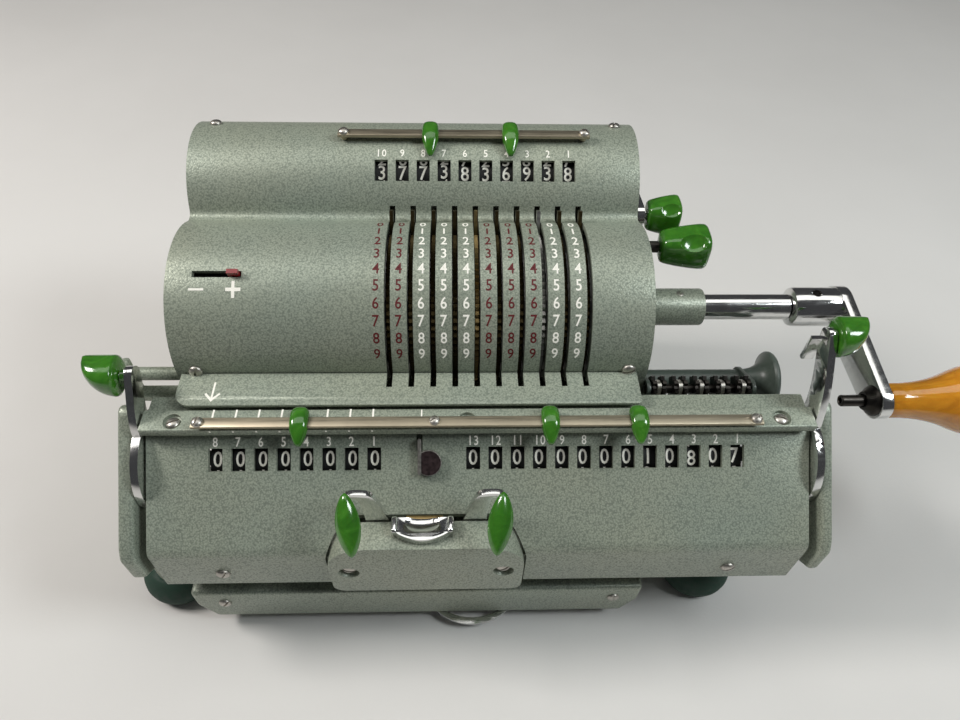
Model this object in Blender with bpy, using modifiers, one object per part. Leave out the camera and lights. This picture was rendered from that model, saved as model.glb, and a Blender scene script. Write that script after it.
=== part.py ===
"""A hand-cranked pinwheel calculating machine, modelled as separate pieces.

All sizes are in millimetres in the machine's working frame: X along the drum axis (0 at the middle of the
housing), Y backwards from the drum axis, Z up from the table. place() turns them into the part's frame in
metres, whose origin is on the table below the middle of the whole machine.
"""

import math

import bmesh
import bpy
from mathutils import Matrix, Vector

MM = 0.001
MIDDLE_X = 59.75
MIDDLE_Y = -10.35
GAP = 0.3

# Digit layout
PITCH = 7.0
DIGITS_SET = 10
FIRST_SLOT_X = 55.06
SLOT_W = 1.9
WINDOW_W = 4.4
WINDOW_L = 7.2
FIRST_COUNTER_X = -12.4
DIGITS_COUNTER = 8
FIRST_RESULT_X = 18.6
DIGITS_RESULT = 13

# Drum, bulge and housing
DRUM_Y = 0.0
DRUM_Z = 90.7
DRUM_R = 29.5
BULGE_Y = 41.8
BULGE_Z = 108.9
BULGE_R = 23.5
WAIST_FILLET = 3.0
HOUSING_X = 75.65
WALL = 2.0
HOUSING_FOOT_Z = 15.0
FRONT_LIP_Z = 86.0
APRON_FRONT = -42.3
APRON_Z = 89.9

# Rotor and crank
SHAFT_R = 4.5
ROTOR_R = 25.0
GROOVE_R = 6.0
LEVER_T = 1.2
LEVER_TIP_R = 33.5
LEVER_REST = 119.0
SWEEP_R = 34.6
SIGN_ANGLE = 66.0
HUB_LEFT = 131.0
ARM_X = 147.2
ARM_T = 3.7
ARM_LEAN = 0.0899
PIN_Y = -36.7
PIN_Z = 84.1
PIN_LEFT = 139.8
PIN_LENGTH = 14.6
HANDLE_X = 155.0
HANDLE_END_X = 225.0
HANDLE_R = 13.2

# Input dials under the top windows
TOP_WINDOW_ANGLE = 126.9
INPUT_Y = 34.0
INPUT_Z = 119.3

# Carriage
REGISTER_Y = -47.4
REGISTER_Z = 69.1
DIAL_R = 9.5
COVER_LEFT = -82.8
COVER_RIGHT = 125.9
COVER_FRONT = -77.0
COVER_FOOT_Z = 38.2
COVER_KNEE_Z = 59.7
COVER_TOP_Y = -49.3
COVER_TOP_Z = 83.1
COVER_WALL = 1.6
COVER_TUCK = 1.5
RAIL_TOP = 89.5
CARRIAGE_BAR_Y = -49.6
CARRIAGE_BAR_Z = 91.2
TOP_BAR_Y = 38.5
TOP_BAR_Z = 134.0
BAR_T = 1.2
BAR_HALF_W = 1.8
BLOCK_LEFT = -27.3
BLOCK_RIGHT = 34.7
BLOCK_FRONT = -79.5
BLOCK_BACK = -70.2
BAY_BACK = -67.7
BLOCK_TOP = 67.5
BLOCK_FOOT = 37.0
KEY_PIVOT_Y = -69.0
KEY_PIVOT_Z = 67.2
KEY_FOOT_Z = 66.6
LATCH_X = 2.85
RESET_R = 16.6
LEFT_LEVER_X = (-85.6, -83.2)
RIGHT_LEVER_X = (126.3, 128.7)

# Guide tube and carry wheels on the right
TUBE_Y = -22.0
TUBE_Z = 77.0
TUBE_R = 3.6
FLANGE_R = 9.8
FLANGE_X = 123.0
CARRY_Y = -31.3
CARRY_Z = 84.0
CARRY_R = 4.4
CARRY_W = 4.4
CARRY_SHAFT_R = 1.5
CARRY_WHEELS = 5
FIRST_CARRY_X = 79.9
CARRY_LEFT = 76.0
CARRY_RIGHT = 112.2

PAINT = (0.26, 0.31, 0.24)
GREEN = (0.07, 0.25, 0.03)
CHROME = (0.75, 0.75, 0.75)
STEEL = (0.45, 0.44, 0.42)
DARK = (0.03, 0.03, 0.03)
AMBER = (0.6, 0.22, 0.02)
RUBBER = (0.02, 0.06, 0.03)


# ---------------------------------------------------------------- helpers

for stale in list(bpy.data.objects):
    bpy.data.objects.remove(stale)


def new_collection(name):
    group = bpy.data.collections.new(name)
    bpy.context.scene.collection.children.link(group)
    return group


PARTS = new_collection("pinwheel_calculator")
CUTTERS = new_collection("cutters")


def place(x, y, z):
    return Vector((x - MIDDLE_X, y - MIDDLE_Y, z)) * MM


def along(axis, lo):
    """Matrix whose local Z runs along axis, and whose local X, Y are the outline's two directions.

    X: outline (y, z).  Y: outline (x, z).  Z: outline (x, y).
    """
    if axis == "X":
        turn = Matrix(((0, 0, 1), (1, 0, 0), (0, 1, 0))).to_4x4()
        return Matrix.Translation(place(lo, 0, 0)) @ turn
    if axis == "Y":
        turn = Matrix(((1, 0, 0), (0, 0, 1), (0, 1, 0))).to_4x4()
        return Matrix.Translation(place(0, lo, 0)) @ turn
    return Matrix.Translation(place(0, 0, lo))


def on_slope(x, down, height):
    """Matrix on the carriage's sloping face: local X along the machine, local Y up the slope, local Z out."""
    out = Vector((0, COVER_KNEE_Z - COVER_TOP_Z, COVER_TOP_Y - COVER_FRONT)).normalized()
    uphill = Vector((0, COVER_TOP_Y - COVER_FRONT, COVER_TOP_Z - COVER_KNEE_Z)).normalized()
    start = place(x, COVER_TOP_Y, COVER_TOP_Z) - uphill * down * MM + out * height * MM
    turn = Matrix((Vector((1, 0, 0)), uphill, out)).transposed().to_4x4()
    return Matrix.Translation(start) @ turn


def link(name, mesh, group=PARTS):
    piece = bpy.data.objects.new(name, mesh)
    group.objects.link(piece)
    return piece


def tidy_mesh(mesh):
    """Welds doubled points and turns every face outwards."""
    bm = bmesh.new()
    bm.from_mesh(mesh)
    bmesh.ops.remove_doubles(bm, verts=bm.verts, dist=1e-6)
    bmesh.ops.recalc_face_normals(bm, faces=bm.faces)
    bm.to_mesh(mesh)
    bm.free()
    mesh.update()
    return mesh


def bake(piece):
    """Replaces a piece by the mesh that its modifiers give, in world space."""
    bpy.context.view_layer.update()
    graph = bpy.context.evaluated_depsgraph_get()
    mesh = bpy.data.meshes.new_from_object(piece.evaluated_get(graph))
    mesh.transform(piece.matrix_world)
    name = piece.name
    bpy.data.objects.remove(piece)
    return link(name, tidy_mesh(mesh))


def arc(cy, cz, r, start, end, step=10.0):
    """Points on an arc, angles in degrees from the outline's first direction."""
    count = max(2, int(math.ceil(abs(end - start) / step)) + 1)
    points = []
    for i in range(count):
        a = math.radians(start + (end - start) * i / (count - 1))
        points.append((cy + r * math.cos(a), cz + r * math.sin(a)))
    return points


def circle(cy, cz, r, sides=16):
    return [(cy + r * math.cos(2 * math.pi * i / sides), cz + r * math.sin(2 * math.pi * i / sides))
            for i in range(sides)]


def radial_bar(angle, r0, r1, width):
    """Side outline of a bar that points away from the drum axis, angle in degrees up from the front."""
    out = Vector((-math.cos(math.radians(angle)), math.sin(math.radians(angle))))
    side = Vector((-out.y, out.x)) * width / 2
    centre = Vector((DRUM_Y, DRUM_Z))
    return [tuple(centre + out * r + side * s) for r, s in ((r0, -1), (r1, -1), (r1, 1), (r0, 1))]


def rounded_box(x0, x1, y0, y1, r, step=30.0):
    """Outline of a box with corner radii r = (lower left, lower right, upper right, upper left)."""
    corners = ((x0, y0, 180, 270), (x1, y0, 270, 360), (x1, y1, 0, 90), (x0, y1, 90, 180))
    points = []
    for (x, y, start, end), radius in zip(corners, r):
        cx = x + radius * (1 if x == x0 else -1)
        cy = y + radius * (1 if y == y0 else -1)
        points.extend(arc(cx, cy, radius, start, end, step))
    return points


def link_outline(y0, z0, r0, y1, z1, r1, step=20.0):
    """Outline of a flat link: a round end of radius r0 at the first point and r1 at the second."""
    lean = math.degrees(math.atan2(z1 - z0, y1 - y0))
    spread = math.degrees(math.asin((r0 - r1) / math.hypot(y1 - y0, z1 - z0)))
    far = arc(y1, z1, r1, lean - 90 + spread, lean + 90 - spread, step)
    near = arc(y0, z0, r0, lean + 90 - spread, lean + 270 + spread, step)
    return far + near


def prism(name, outlines, matrix, depth):
    """A flat outline with holes, extruded from the matrix's plane along its local Z."""
    curve = bpy.data.curves.new(name, "CURVE")
    curve.dimensions = "2D"
    curve.fill_mode = "BOTH"
    curve.extrude = depth * MM / 2
    for outline in outlines:
        spline = curve.splines.new("POLY")
        spline.points.add(len(outline) - 1)
        for point, (a, b) in zip(spline.points, outline):
            point.co = (a * MM, b * MM, 0, 1)
        spline.use_cyclic_u = True
    piece = link(name, curve)
    piece.matrix_world = matrix @ Matrix.Translation((0, 0, depth * MM / 2))
    return bake(piece)


def block(name, x, y, z):
    """A box from its ranges along X, Y and Z."""
    bm = bmesh.new()
    low = place(x[0], y[0], z[0])
    high = place(x[1], y[1], z[1])
    size = high - low
    spot = Matrix.Translation((low + high) / 2) @ Matrix.Diagonal(size).to_4x4()
    bmesh.ops.create_cube(bm, size=1.0, matrix=spot)
    mesh = bpy.data.meshes.new(name)
    bm.to_mesh(mesh)
    bm.free()
    return link(name, mesh)


def turned(name, profile, matrix, steps=16):
    """A turned piece: profile is (radius, height) pairs, turned about the matrix's local Z."""
    mesh = bpy.data.meshes.new(name)
    points = [(r * MM, 0, h * MM) for r, h in profile]
    edges = [(i, i + 1) for i in range(len(points) - 1)]
    if profile[0][0] > 0:
        edges.append((len(points) - 1, 0))
    mesh.from_pydata(points, edges, [])
    piece = link(name, mesh)
    piece.matrix_world = matrix
    screw = piece.modifiers.new("turn", "SCREW")
    screw.steps = steps
    screw.render_steps = steps
    screw.use_merge_vertices = True
    screw.merge_threshold = 1e-5
    return bake(piece)


def rod(name, y, z, r, x0, x1, sides=16):
    """A round bar along X."""
    return turned(name, [(0, x1 - x0), (r, x1 - x0), (r, 0), (0, 0)], axle(x0, y, z), sides)


def axle(x, y, z):
    """Matrix at a point with local Z along +X."""
    return Matrix.Translation(place(x, y, z)) @ Matrix.Rotation(math.radians(90), 4, "Y")


def combine(piece, others, operation):
    for other in others:
        step = piece.modifiers.new(operation.lower(), "BOOLEAN")
        step.operation = operation
        step.solver = "EXACT"
        step.object = other
    return bake(piece)


def unite(piece, *others):
    whole = combine(piece, others, "UNION")
    for other in others:
        bpy.data.objects.remove(other)
    return whole


def cut(piece, *tools):
    for tool in tools:
        PARTS.objects.unlink(tool)
        CUTTERS.objects.link(tool)
        tool.name = "cutter_" + tool.name
        tool.hide_render = True
        tool.display_type = "WIRE"
    return combine(piece, tools, "DIFFERENCE")


def gang(name, pieces):
    """Joins separate cutters into one object, so that one cut makes them all."""
    bm = bmesh.new()
    for piece in pieces:
        bm.from_mesh(piece.data)
        bpy.data.objects.remove(piece)
    mesh = bpy.data.meshes.new(name)
    bm.to_mesh(mesh)
    bm.free()
    return link(name, mesh)


def rounded(piece, width, segments=2):
    step = piece.modifiers.new("round", "BEVEL")
    step.width = width * MM
    step.segments = segments
    step.limit_method = "ANGLE"
    step.angle_limit = math.radians(40)
    return bake(piece)


def finish(piece, name, colour, roughness, metallic, pivot=None, sharp=35):
    """Names a piece, gives it its own material and puts its origin at its pivot."""
    piece.name = name
    piece.data.name = name
    material = bpy.data.materials.new(name)
    material.use_nodes = True
    shader = material.node_tree.nodes["Principled BSDF"]
    shader.inputs["Base Color"].default_value = (*colour, 1)
    shader.inputs["Roughness"].default_value = roughness
    shader.inputs["Metallic"].default_value = metallic
    piece.data.materials.clear()
    piece.data.materials.append(material)
    if pivot is not None:
        origin = place(*pivot)
        piece.data.transform(Matrix.Translation(-origin))
        piece.location = origin
    piece.data.shade_smooth()
    piece.data.set_sharp_from_angle(angle=math.radians(sharp))
    return piece


def painted(piece, name, pivot=None):
    return finish(piece, name, PAINT, 0.45, 0.2, pivot)


def plated(piece, name, pivot=None):
    return finish(piece, name, CHROME, 0.15, 1.0, pivot)


def green(piece, name, pivot=None):
    return finish(piece, name, GREEN, 0.2, 0.0, pivot)


def steel(piece, name, pivot=None):
    return finish(piece, name, STEEL, 0.35, 1.0, pivot)


def slot_x(column):
    """X of setting slot 1 to 10, counted from the right."""
    return FIRST_SLOT_X - PITCH * (column - 1)


# ---------------------------------------------------------------- base and frame

def make_feet():
    spots = {"front_left": (-92.0, -57.0), "front_right": (106.6, -57.0),
             "rear_left": (-60.0, 50.0), "rear_right": (60.0, 50.0)}
    profile = [(0, 14), (9, 14), (12.3, 11), (13.5, 6), (12.6, 2), (10, 0), (0, 0)]
    for name, (x, y) in spots.items():
        foot = turned("foot", profile, Matrix.Translation(place(x, y, 0)), 16)
        finish(foot, "foot_" + name, RUBBER, 0.7, 0.0)


def make_base():
    pan = block("pan", (-73.3, 73.3), (-50, 62), (14.3, 17.3))
    beam = prism("beam", [rounded_box(-98, 113, -65.5, -46, (6, 6, 6, 6))], along("Z", 14.3), 9.7)
    bar = block("bar", (-94, 109), (-65.5, -60), (23, 33))
    painted(unite(pan, beam, bar), "base_pan")
    outline = [(-74.5, 5.8), (74.5, 5.8), (79.3, 16), (79.3, 25.9), (-79.3, 25.9), (-79.3, 16)]
    front = prism("front", [outline], along("Y", -75.5), 7.2)
    painted(rounded(front, 1.5), "front_rail")


def housing_profile(inset, foot_z, step=10.0):
    """Side outline of the housing, inset from its outer face: drum, waist, bulge and back wall."""
    big = DRUM_R - inset
    small = BULGE_R - inset
    fillet = WAIST_FILLET + inset
    across = math.hypot(BULGE_Y - DRUM_Y, BULGE_Z - DRUM_Z)
    lean = math.atan2(BULGE_Z - DRUM_Z, BULGE_Y - DRUM_Y)
    to_fillet = big + fillet
    from_bulge = small + fillet
    swing = math.acos((across ** 2 + to_fillet ** 2 - from_bulge ** 2) / (2 * across * to_fillet))
    waist = math.degrees(lean + swing)
    fy = DRUM_Y + to_fillet * math.cos(lean + swing)
    fz = DRUM_Z + to_fillet * math.sin(lean + swing)
    rise = math.degrees(math.atan2(fz - BULGE_Z, fy - BULGE_Y))
    outline = [(DRUM_Y - big, foot_z)]
    outline += arc(DRUM_Y, DRUM_Z, big, 180, waist, step)
    outline += arc(fy, fz, fillet, waist + 180, rise + 180, 2 * step)[1:-1] if fillet > 0 else []
    outline += arc(BULGE_Y, BULGE_Z, small, rise, 0, step)
    outline.append((BULGE_Y + small, foot_z))
    return outline


def make_side_frames():
    for side, name in ((-1, "side_frame_left"), (1, "side_frame_right")):
        x0 = min(side * 68.0, side * 71.0)
        plate = prism("plate", [housing_profile(4.5, 17.6)], along("X", x0), 3.0)
        arm = block("arm", (x0, x0 + 3.0), (-46, -20), (34, 45.7))
        bores = gang("bores", [rod("bore", DRUM_Y, DRUM_Z, 4.8, x0 - 2, x0 + 5),
                               rod("bore", INPUT_Y, INPUT_Z, 2.3, x0 - 2, x0 + 5, 12)])
        front = block("front", (x0 - 2, x0 + 5), (-30, -16), (17, 34))
        steel(cut(unite(plate, arm), bores, front), name)
    steel(block("rail", (-98, 113), (-46, -40), (46, 52)), "carriage_guide_rail")


def make_housing():
    outer = prism("outer", [housing_profile(0, HOUSING_FOOT_Z)], along("X", -HOUSING_X), 2 * HOUSING_X)
    hollow = prism("hollow", [housing_profile(WALL, HOUSING_FOOT_Z - 5)],
                   along("X", WALL - HOUSING_X), 2 * (HOUSING_X - WALL))
    inner_x = HOUSING_X - WALL
    front = block("front_opening", (-inner_x, inner_x), (-40, -20), (HOUSING_FOOT_Z - 5, FRONT_LIP_Z))
    slots = [prism("slot", [circle(DRUM_Y, DRUM_Z, SWEEP_R, 36)], along("X", slot_x(k) - SLOT_W / 2), SLOT_W)
             for k in range(1, DIGITS_SET + 1)]
    lean = Matrix.Rotation(math.radians(TOP_WINDOW_ANGLE), 4, "X")
    windows = []
    for k in range(1, DIGITS_SET + 1):
        matrix = Matrix.Translation(place(slot_x(k) - PITCH / 2, BULGE_Y, BULGE_Z)) @ lean
        box = [(-WINDOW_W / 2, -WINDOW_L / 2), (WINDOW_W / 2, -WINDOW_L / 2),
               (WINDOW_W / 2, WINDOW_L / 2), (-WINDOW_W / 2, WINDOW_L / 2)]
        up = matrix @ Matrix(((1, 0, 0), (0, 0, 1), (0, -1, 0))).to_4x4()
        windows.append(prism("window", [box], up @ Matrix.Translation((0, 0, 18 * MM)), 10))
    sign = prism("sign", [radial_bar(SIGN_ANGLE, 24, 34, 2.1)], along("X", -67.6), 15.1)
    bearing = rod("bearing_hole", DRUM_Y, DRUM_Z, 5.5, HOUSING_X - 5, HOUSING_X + 5)
    cover = cut(outer, hollow, front, gang("slots", slots), gang("windows", windows), sign, bearing)
    painted(cover, "main_cover")


def marker_bar(left, right, y, z):
    """The flat strip that a row of decimal markers slides on."""
    return block("bar", (left, right), (y - BAR_HALF_W, y + BAR_HALF_W), (z, z + BAR_T))


def make_top_trim():
    outline = rounded_box(-74, 72, APRON_FRONT, -29.8, (5, 1.5, 0, 0))
    apron = prism("apron", [outline], along("Z", APRON_Z), 1.1)
    slots = [block("slot", (slot_x(k) - SLOT_W / 2, slot_x(k) + SLOT_W / 2), (-35.4, -29), (87, 93))
             for k in range(1, DIGITS_SET + 1)]
    painted(cut(apron, gang("apron_slots", slots)), "apron_plate")
    bar = marker_bar(-26, 58.8, TOP_BAR_Y, TOP_BAR_Z)
    posts = [prism("post", [circle(x, TOP_BAR_Y, 1.6, 12)], along("Z", TOP_BAR_Z - 1.4), 1.8)
             for x in (-24, 56.8)]
    steel(unite(bar, *posts), "top_marker_bar")


def make_marker(name, x, y, bar_z, reach):
    """A rider that wraps round a marker bar, with its point towards the digits in front of the bar."""
    outline = [(x, y - reach), (x + 2.4, y - 4.4), (x + 2.9, y), (x + 2.4, y + 4), (x, y + 5.4),
               (x - 2.4, y + 4), (x - 2.9, y), (x - 2.4, y - 4.4)]
    body = prism("body", [outline], along("Z", bar_z - 1.2), 4.7)
    channel = block("channel", (x - 5, x + 5), (y - 2.1, y + 2.1), (bar_z - 0.3, bar_z + 1.5))
    green(rounded(cut(body, channel), 0.5, 1), name, (x, y, bar_z))


def make_input_dials():
    """The wheels behind the top windows, on one shaft between the side frames."""
    profile = [(0, 144)]
    profile.append((2.0, 144))
    for k in range(1, DIGITS_SET + 1):
        top = slot_x(k) - PITCH / 2 + WINDOW_W / 2 + 72
        profile += [(2.0, top), (8.0, top), (8.0, top - WINDOW_W), (2.0, top - WINDOW_W)]
    profile += [(2.0, 0), (0, 0)]
    finish(turned("dials", profile, axle(-72, INPUT_Y, INPUT_Z), 12), "input_dials", DARK, 0.5, 0.0,
           (0, INPUT_Y, INPUT_Z))


# ---------------------------------------------------------------- rotor, setting levers and crank

def make_rotor():
    """The pinwheel drum: eleven discs on one shaft, with a groove at each setting slot."""
    half = (PITCH - LEVER_T) / 2 - GAP
    profile = [(0, 145.5), (SHAFT_R, 145.5)]
    for k in range(DIGITS_SET + 1):
        centre = slot_x(k + 1) + PITCH / 2 + 73
        profile += [(SHAFT_R if k == 0 else GROOVE_R, centre + half), (ROTOR_R, centre + half),
                    (ROTOR_R, centre - half), (SHAFT_R if k == DIGITS_SET else GROOVE_R, centre - half)]
    profile += [(SHAFT_R, 0), (0, 0)]
    steel(turned("rotor", profile, axle(-73, DRUM_Y, DRUM_Z), 18), "rotor_drum", (0, DRUM_Y, DRUM_Z))


def make_setting_levers():
    """A flat ring in each groove of the drum, with a finger that stands out through its slot."""
    finger = math.degrees(math.asin(1.6 / 21))
    tip = math.degrees(math.asin(1.3 / LEVER_TIP_R))
    rest = 180 - LEVER_REST
    outline = arc(DRUM_Y, DRUM_Z, 21, rest + finger, rest + 360 - finger, 20)
    outline += arc(DRUM_Y, DRUM_Z, LEVER_TIP_R, rest - tip, rest + tip, 5)
    hole = circle(DRUM_Y, DRUM_Z, GROOVE_R + 0.4, 16)
    for k in range(1, DIGITS_SET + 1):
        lever = prism("lever", [outline, hole], along("X", slot_x(k) - LEVER_T / 2), LEVER_T)
        steel(lever, "setting_lever_%d" % k, (slot_x(k), DRUM_Y, DRUM_Z))


def outward_lean():
    """Shear that carries the crank arm outwards the further it reaches in front of the drum axis."""
    lean = Matrix.Identity(4)
    lean[0][1] = -ARM_LEAN
    lean[0][3] = ARM_LEAN * place(0, DRUM_Y, 0).y
    return lean


def make_crank():
    plated(rod("shaft", DRUM_Y, DRUM_Z, SHAFT_R, 72.8, HUB_LEFT - GAP), "crank_shaft", (72.8, DRUM_Y, DRUM_Z))
    sleeve = [(6.5, 23.8), (6.5, 0), (4.8, 0), (4.8, 23.8)]
    painted(turned("bearing", sleeve, axle(HOUSING_X + GAP, DRUM_Y, DRUM_Z), 20), "crank_bearing")
    hub = rod("hub", DRUM_Y, DRUM_Z, 6.9, HUB_LEFT, ARM_X + 1)
    arm = prism("arm", [link_outline(DRUM_Y, DRUM_Z, 7.4, PIN_Y, PIN_Z, 6.0)], along("X", ARM_X), ARM_T)
    arm.data.transform(outward_lean())
    bore = rod("pin_bore", PIN_Y, PIN_Z, 2.2, ARM_X - 2, HANDLE_X, 12)
    plated(cut(unite(hub, arm), bore), "crank_arm", (ARM_X, DRUM_Y, DRUM_Z))
    pin = rod("pin", PIN_Y, PIN_Z, 1.9, PIN_LEFT, PIN_LEFT + PIN_LENGTH, 12)
    finish(pin, "lock_pin", DARK, 0.3, 1.0, (PIN_LEFT, PIN_Y, PIN_Z))
    length = HANDLE_END_X - HANDLE_X
    grip = [(0, length)]
    for a in (75, 50, 25, 0):
        grip.append((HANDLE_R * math.cos(math.radians(a)),
                     length - HANDLE_R * (1 - math.sin(math.radians(a)))))
    grip += [(HANDLE_R, 40), (12.8, 33), (11.4, 25.6), (8.9, 19.5), (7.2, 14), (6.2, 8), (5.7, 0), (0, 0)]
    finish(turned("grip", grip, axle(HANDLE_X, PIN_Y, PIN_Z), 20), "crank_handle", AMBER, 0.15, 0.0,
           (HANDLE_X, PIN_Y, PIN_Z))


def make_side_levers():
    """The two small levers on the right of the housing, and the sign slider on the drum."""
    x0 = HOUSING_X + 0.55
    arm = prism("arm", [link_outline(BULGE_Y, BULGE_Z, 5, 23, 113, 3.6)], along("X", x0), 2.4)
    stem = rod("stem", 23, 113, 2, x0 + 1, 79.3, 12)
    plated(unite(arm, stem), "clear_lever", (x0, BULGE_Y, BULGE_Z))
    knob = rounded(block("knob", (79.6, 91), (17.2, 28.4), (106.4, 119.8)), 3, 3)
    green(knob, "clear_lever_knob", (x0, BULGE_Y, BULGE_Z))
    ring = prism("ring", [circle(DRUM_Y, DRUM_Z, 10.5, 20)], along("X", x0), 2.4)
    arm = prism("arm", [link_outline(DRUM_Y, DRUM_Z, 3.4, 9.7, 110, 3.0)], along("X", x0), 2.4)
    stem = rod("stem", 9.7, 110, 2, x0 + 1, 82.2, 12)
    eye = rod("eye", DRUM_Y, DRUM_Z, 6.9, x0 - 2, x0 + 5)
    lever = cut(unite(ring, arm, stem), eye)
    finish(lever, "transfer_lever", DARK, 0.35, 1.0, (x0, DRUM_Y, DRUM_Z))
    knob = rounded(block("knob", (82.5, 99), (3.2, 16.2), (103.2, 117.2)), 3, 3)
    green(knob, "transfer_lever_knob", (x0, DRUM_Y, DRUM_Z))
    slide = prism("slide", [radial_bar(SIGN_ANGLE, 20, 32, 1.4)], along("X", -56.4), 3.4)
    finish(slide, "sign_slider", (0.4, 0.02, 0.02), 0.4, 0.0, (-54.7, -12, 117))


def make_guides():
    """The tube and the rod that stand out of the housing's ends behind the carriage."""
    length = FLANGE_X - HOUSING_X - GAP
    tube = [(0, length), (FLANGE_R - 0.5, length), (FLANGE_R, length - 0.6), (FLANGE_R, length - 2.0),
            (6.0, length - 4.0), (4.3, length - 6.5), (TUBE_R, length - 9.5), (TUBE_R, 0), (0, 0)]
    tube = turned("tube", tube, axle(HOUSING_X + GAP, TUBE_Y, TUBE_Z), 20)
    outline = link_outline(TUBE_Y, TUBE_Z, TUBE_R + 0.9, CARRY_Y, CARRY_Z, 3.0)
    arms = [prism("arm", [outline], along("X", x), 1.2) for x in (CARRY_LEFT, CARRY_RIGHT - 1.2)]
    eye = rod("eye", CARRY_Y, CARRY_Z, CARRY_SHAFT_R + GAP, CARRY_LEFT - 1, CARRY_RIGHT + 1, 12)
    painted(cut(unite(tube, *arms), eye), "guide_tube_right")
    bracket = block("bracket", (-94.5, -92.0), (-29.5, -23), (74, 91.5))
    bar = rod("bar", -26.5, 87.2, 2.2, -93, -HOUSING_X - GAP, 12)
    shelf = block("shelf", (-93, -HOUSING_X - GAP), (-29, -24), (75.5, 78))
    painted(unite(bar, bracket, shelf), "guide_rod_left")


def make_carry_wheels():
    """The tens-carrying wheels that stand free beside the housing, on a shaft between the tube's two arms."""
    length = CARRY_RIGHT - CARRY_LEFT
    profile = [(0, length), (CARRY_SHAFT_R, length)]
    for k in reversed(range(CARRY_WHEELS)):
        centre = FIRST_CARRY_X + PITCH * k - CARRY_LEFT
        profile += [(CARRY_SHAFT_R, centre + CARRY_W / 2), (CARRY_R, centre + CARRY_W / 2),
                    (CARRY_R, centre - CARRY_W / 2), (CARRY_SHAFT_R, centre - CARRY_W / 2)]
    profile += [(CARRY_SHAFT_R, 0), (0, 0)]
    wheels = turned("wheels", profile, axle(CARRY_LEFT, CARRY_Y, CARRY_Z), 16)
    finish(wheels, "carry_wheels", DARK, 0.4, 1.0, (CARRY_LEFT, CARRY_Y, CARRY_Z))


# ---------------------------------------------------------------- carriage

def counter_x(k):
    return FIRST_COUNTER_X - PITCH * k


def result_x(k):
    return FIRST_RESULT_X + PITCH * k


def cover_side(inset, foot_z):
    """Side outline of the carriage cover from its foot, up the front and the slope to its top edge."""
    out = Vector((COVER_KNEE_Z - COVER_TOP_Z, COVER_TOP_Y - COVER_FRONT)).normalized()
    knee = Vector((COVER_FRONT + inset, COVER_KNEE_Z - inset * 0.36))
    radius = 5.0 - inset
    reach = radius * math.tan(math.radians(25))
    turn_y = knee.x + radius
    turn_z = knee.y - reach
    bend = arc(turn_y, turn_z, radius, 180, 130, 17)
    tuck = Vector((out.y, -out.x)) * COVER_TUCK
    top = Vector((COVER_TOP_Y, COVER_TOP_Z)) - out * inset + tuck
    return [(COVER_FRONT + inset, foot_z)] + bend + [(top.x, top.y)]


def make_carriage_cover():
    length = COVER_RIGHT - COVER_LEFT
    outer = cover_side(0, COVER_FOOT_Z)
    inner = cover_side(COVER_WALL, COVER_FOOT_Z)
    shell = prism("shell", [outer + inner[::-1]], along("X", COVER_LEFT), length)
    half_w = WINDOW_W / 2
    window_down = 6.7
    box = [(-half_w, -WINDOW_L / 2), (half_w, -WINDOW_L / 2), (half_w, WINDOW_L / 2), (-half_w, WINDOW_L / 2)]
    centres = [counter_x(k) for k in range(DIGITS_COUNTER)] + [result_x(k) for k in range(DIGITS_RESULT)]
    windows = [prism("window", [box], on_slope(x, window_down, -3), 6) for x in centres]
    bay = block("bay", (BLOCK_LEFT - GAP, BLOCK_RIGHT + GAP), (COVER_FRONT - 5, BAY_BACK),
                (COVER_FOOT_Z - 5, BLOCK_TOP + 2))
    painted(cut(shell, gang("carriage_windows", windows), bay), "carriage_cover")


def make_carriage_frame():
    side = [(-50.6, 86.6), (-46.8, 86.6), (-46.8, 82.4), (-44.8, 82.4), (-44.8, 85.7),
            (-36.0, 85.7), (-36.0, 87.2), (-42.9, 87.2), (-42.9, RAIL_TOP), (-50.6, RAIL_TOP)]
    painted(prism("plate", [side], along("X", COVER_LEFT), COVER_RIGHT - COVER_LEFT), "carriage_rail_plate")
    outline = [(-50, 40), (-71, 40), (-78.5, 47), (-78.5, 58.5), (-75.8, 62.4), (-49, 85), (-43.5, 89.5),
               (-40, 89.5), (-40, 64), (-50, 58)]
    for x0, x1, name in ((-91.0, -86.0, "end_plate_left"), (129.1, 133.1, "end_plate_right")):
        plate = rounded(prism("plate", [outline], along("X", x0), x1 - x0), 1.0, 1)
        painted(plate, name)
    bar = marker_bar(-66.3, 107.9, CARRIAGE_BAR_Y, CARRIAGE_BAR_Z)
    posts = [prism("post", [circle(x, CARRIAGE_BAR_Y + 0.4, 1.2, 12)], along("Z", RAIL_TOP + GAP), 1.8)
             for x in (-64, 7.4, 105.6)]
    steel(unite(bar, *posts), "carriage_marker_bar")


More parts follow.
